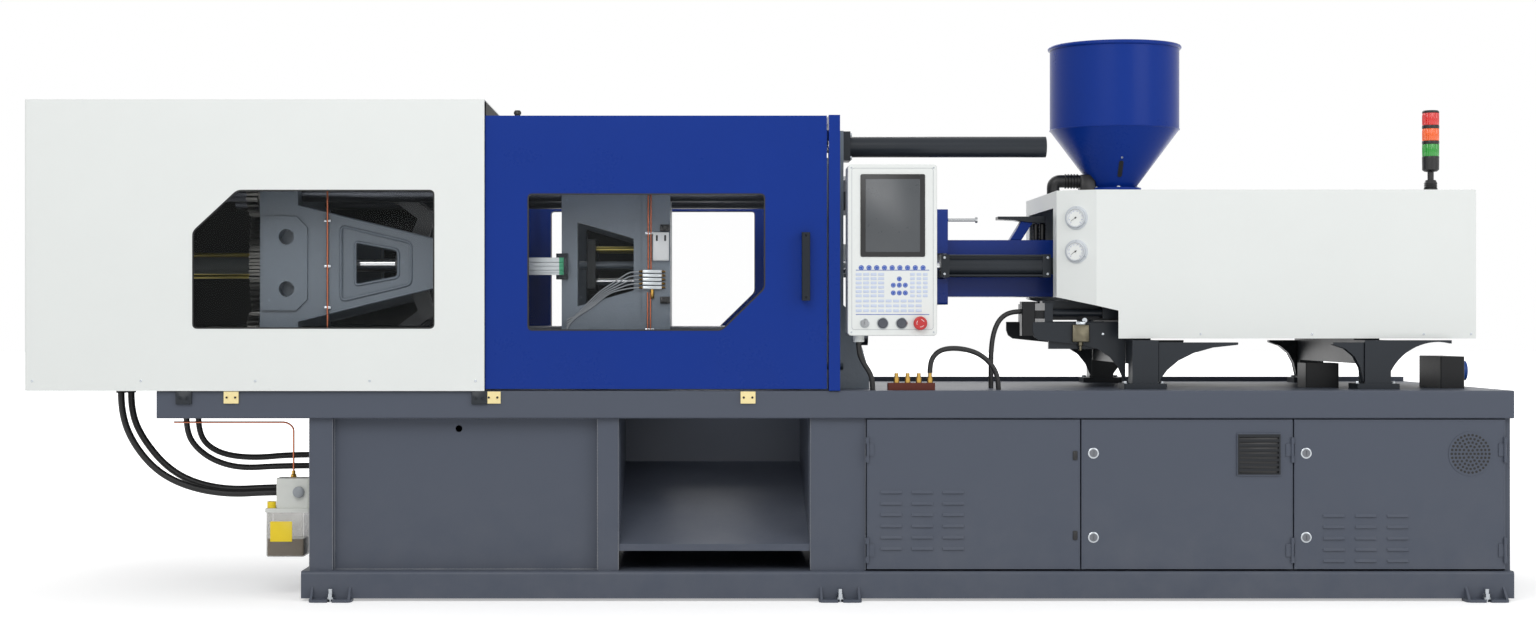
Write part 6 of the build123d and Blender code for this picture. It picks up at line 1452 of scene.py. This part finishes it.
def dress_injection():
    """The valve under the cover, the webs of the base, and the pieces above the barrel."""
    tail = ((0, 0), (0.010, 0), (0.010, 0.012), (0.006, 0.014), (0.006, 0.030), (0, 0.030))
    valve = [
        box(1.105, 1.165, -0.372, -0.340, 0.905, 0.968, 0.002),
        turned(tail, (1.135, -0.356, 0.905), downwards, 12),
    ]
    piece("limit_valve", valve, valve_bronze, "machine")
    wheel = ((0, 0), (0.009, 0), (0.009, 0.008), (0, 0.008))
    roller = [
        box(1.118, 1.152, -0.366, -0.346, 0.968, 0.980, 0.001),
        turned(wheel, (1.150, -0.352, 0.984), to_front, 20),
    ]
    piece("valve_roller", roller, zinc_plate, "machine")
    screws = screw_pairs((1.20, 1.55, 1.95, 2.35, 2.52), cover_side, 0.935, 0.0042)
    piece("cover_screws", screws, zinc_plate, "carriage")
    heads = []
    for sy in both_sides:
        for x in (0.652, 1.030):
            for z in (1.154, 1.214):
                heads.append(cap_screw(x, sy * 0.267, z, (0, sy, 0), 0.005, 0.004))
    piece("cylinder_screws", heads, zinc_plate, "carriage")
    bolts = []
    for x in (1.300, 2.131):
        for sy in both_sides:
            for dx in (-0.016, 0.109):
                bolts += hex_bolt(x + dx, sy * 0.44454, 0.758, upwards, 0.009, 0.008)
    piece("base_bolts", bolts, zinc_plate, "machine")
    webs = []
    for sy in both_sides:
        webs.append(slab(base_nose, sy * 0.353, sy * 0.3415, 0.002))
        webs += [slab(web, sy * 0.474, sy * 0.440, 0.002) for web in (right_web, left_web)]
    piece("base_webs", webs, black_enamel, "machine")
    shelf = slab(shelf_outline, -0.128, -0.050, 0.002)
    piece("barrel_shelf", [shelf], black_enamel, "carriage")
    bracket = slab(bracket_outline, -0.122, -0.060, 0.002)
    piece("shelf_bracket", [bracket], blue_enamel, "carriage")
    turns = [(0.0105 + 0.0012 * (k % 2), 0.0005 + 0.006 * k) for k in range(11)]
    coil = [(0, 0), *turns, (0, 0.062)]
    coils = []
    for x in (1.012, 1.036):
        coils.append(turned(coil, (x, -0.100, barrel_bracket_top), upwards, 24))
    piece("shelf_coils", coils, black_plastic, "carriage")
    elbow_y, elbow_z, box_left = -0.025, 1.508, 1.186
    rise = ((1.088, elbow_y, cover_top), (1.088, elbow_y, elbow_z))
    elbow_route = (*rise, (box_left, elbow_y, elbow_z))
    fold = ((0.0235, 0), (0.0275, 0.002), (0.0275, 0.006), (0.0235, 0.008))
    elbow = [
        box(box_left, 1.244, elbow_y - 0.030, elbow_y + 0.030, cover_top, 1.532, 0.004),
        swept(bent(elbow_route, 0.035, 10), 0.024, 20),
    ]
    for k in range(5):
        elbow.append(turned(fold, (1.130 + 0.011 * k, elbow_y, elbow_z), to_right, 24))
    piece("throat_elbow", elbow, black_plastic, "carriage")
    flange_bolts = []
    for y in (-0.345, -0.295):
        for z in (1.573, 1.657):
            flange_bolts += hex_bolt(0.300, y, z, to_right, 0.008, 0.007)
    piece("tube_flange_bolts", flange_bolts, zinc_plate, "machine")


dress_injection()


# Stage: a pale floor, a plain sky and soft lamps

near_floor = 3.2
far_floor = 7.0
near_lift = 0.42
sky_light = 0.70
floor_half = 60


def seen_directly(tree):
    """1 for what the camera sees straight, through a clear sheet or in a reflection."""
    path = add(tree, "ShaderNodeLightPath").outputs
    seen = maths(tree, "MAXIMUM", path["Is Camera Ray"], path["Is Transmission Ray"])
    return maths(tree, "MAXIMUM", seen, path["Is Glossy Ray"])


def ground_finish():
    """Pale matt floor with the object's shadow, lifted to white for what looks at it directly."""
    material, tree, shader = start_finish("pale floor")
    place = place_on_object(tree)
    grain = ranged(tree, noise(tree, place, 2.0, 3.0), 0.0, 1.0, 0.80, 0.82)
    away = add(tree, "ShaderNodeVectorMath", ((0, place),), operation="LENGTH").outputs["Value"]
    lift = ranged(tree, away, near_floor, far_floor, near_lift, 1.0)
    glow = times(tree, seen_directly(tree), lift)
    wire(tree, shader, Base_Color=grain, Roughness=0.9, Specular_IOR_Level=0.1)
    wire(tree, shader, Emission_Color=(1, 1, 1, 1), Emission_Strength=glow)
    return material


floor_corners = floor_half * np.array(((-1, -1, 0), (1, -1, 0), (1, 1, 0), (-1, 1, 0)))
floor_mesh = bpy.data.meshes.new("floor")
floor_mesh.from_pydata(floor_corners.tolist(), [], [(0, 1, 2, 3)])
floor = bpy.data.objects.new("floor", floor_mesh)
bpy.context.scene.collection.objects.link(floor)
floor_mesh.materials.append(ground_finish())


def make_world():
    """A plain sky: white to the camera and in reflections, softer as a light."""
    world = bpy.data.worlds.new("plain sky")
    bpy.context.scene.world = world
    world.use_nodes = True
    tree = world.node_tree
    back = tree.nodes["Background"]
    strength = plus(tree, times(tree, seen_directly(tree), 1.0 - sky_light), sky_light)
    feed(tree, back.inputs["Strength"], strength)
    feed(tree, back.inputs["Color"], (1, 1, 1, 1))


make_world()
make_lamp("front lamp", (-1.5, -6.5, 5.2), (0, 0, 0.9), 4.0, 160)
make_lamp("right lamp", (4.8, -4.6, 3.6), (0.4, 0, 0.9), 3.0, 60)
make_lamp("rear lamp", (-0.5, 5.5, 4.8), (0, 0, 1.0), 3.5, 110)
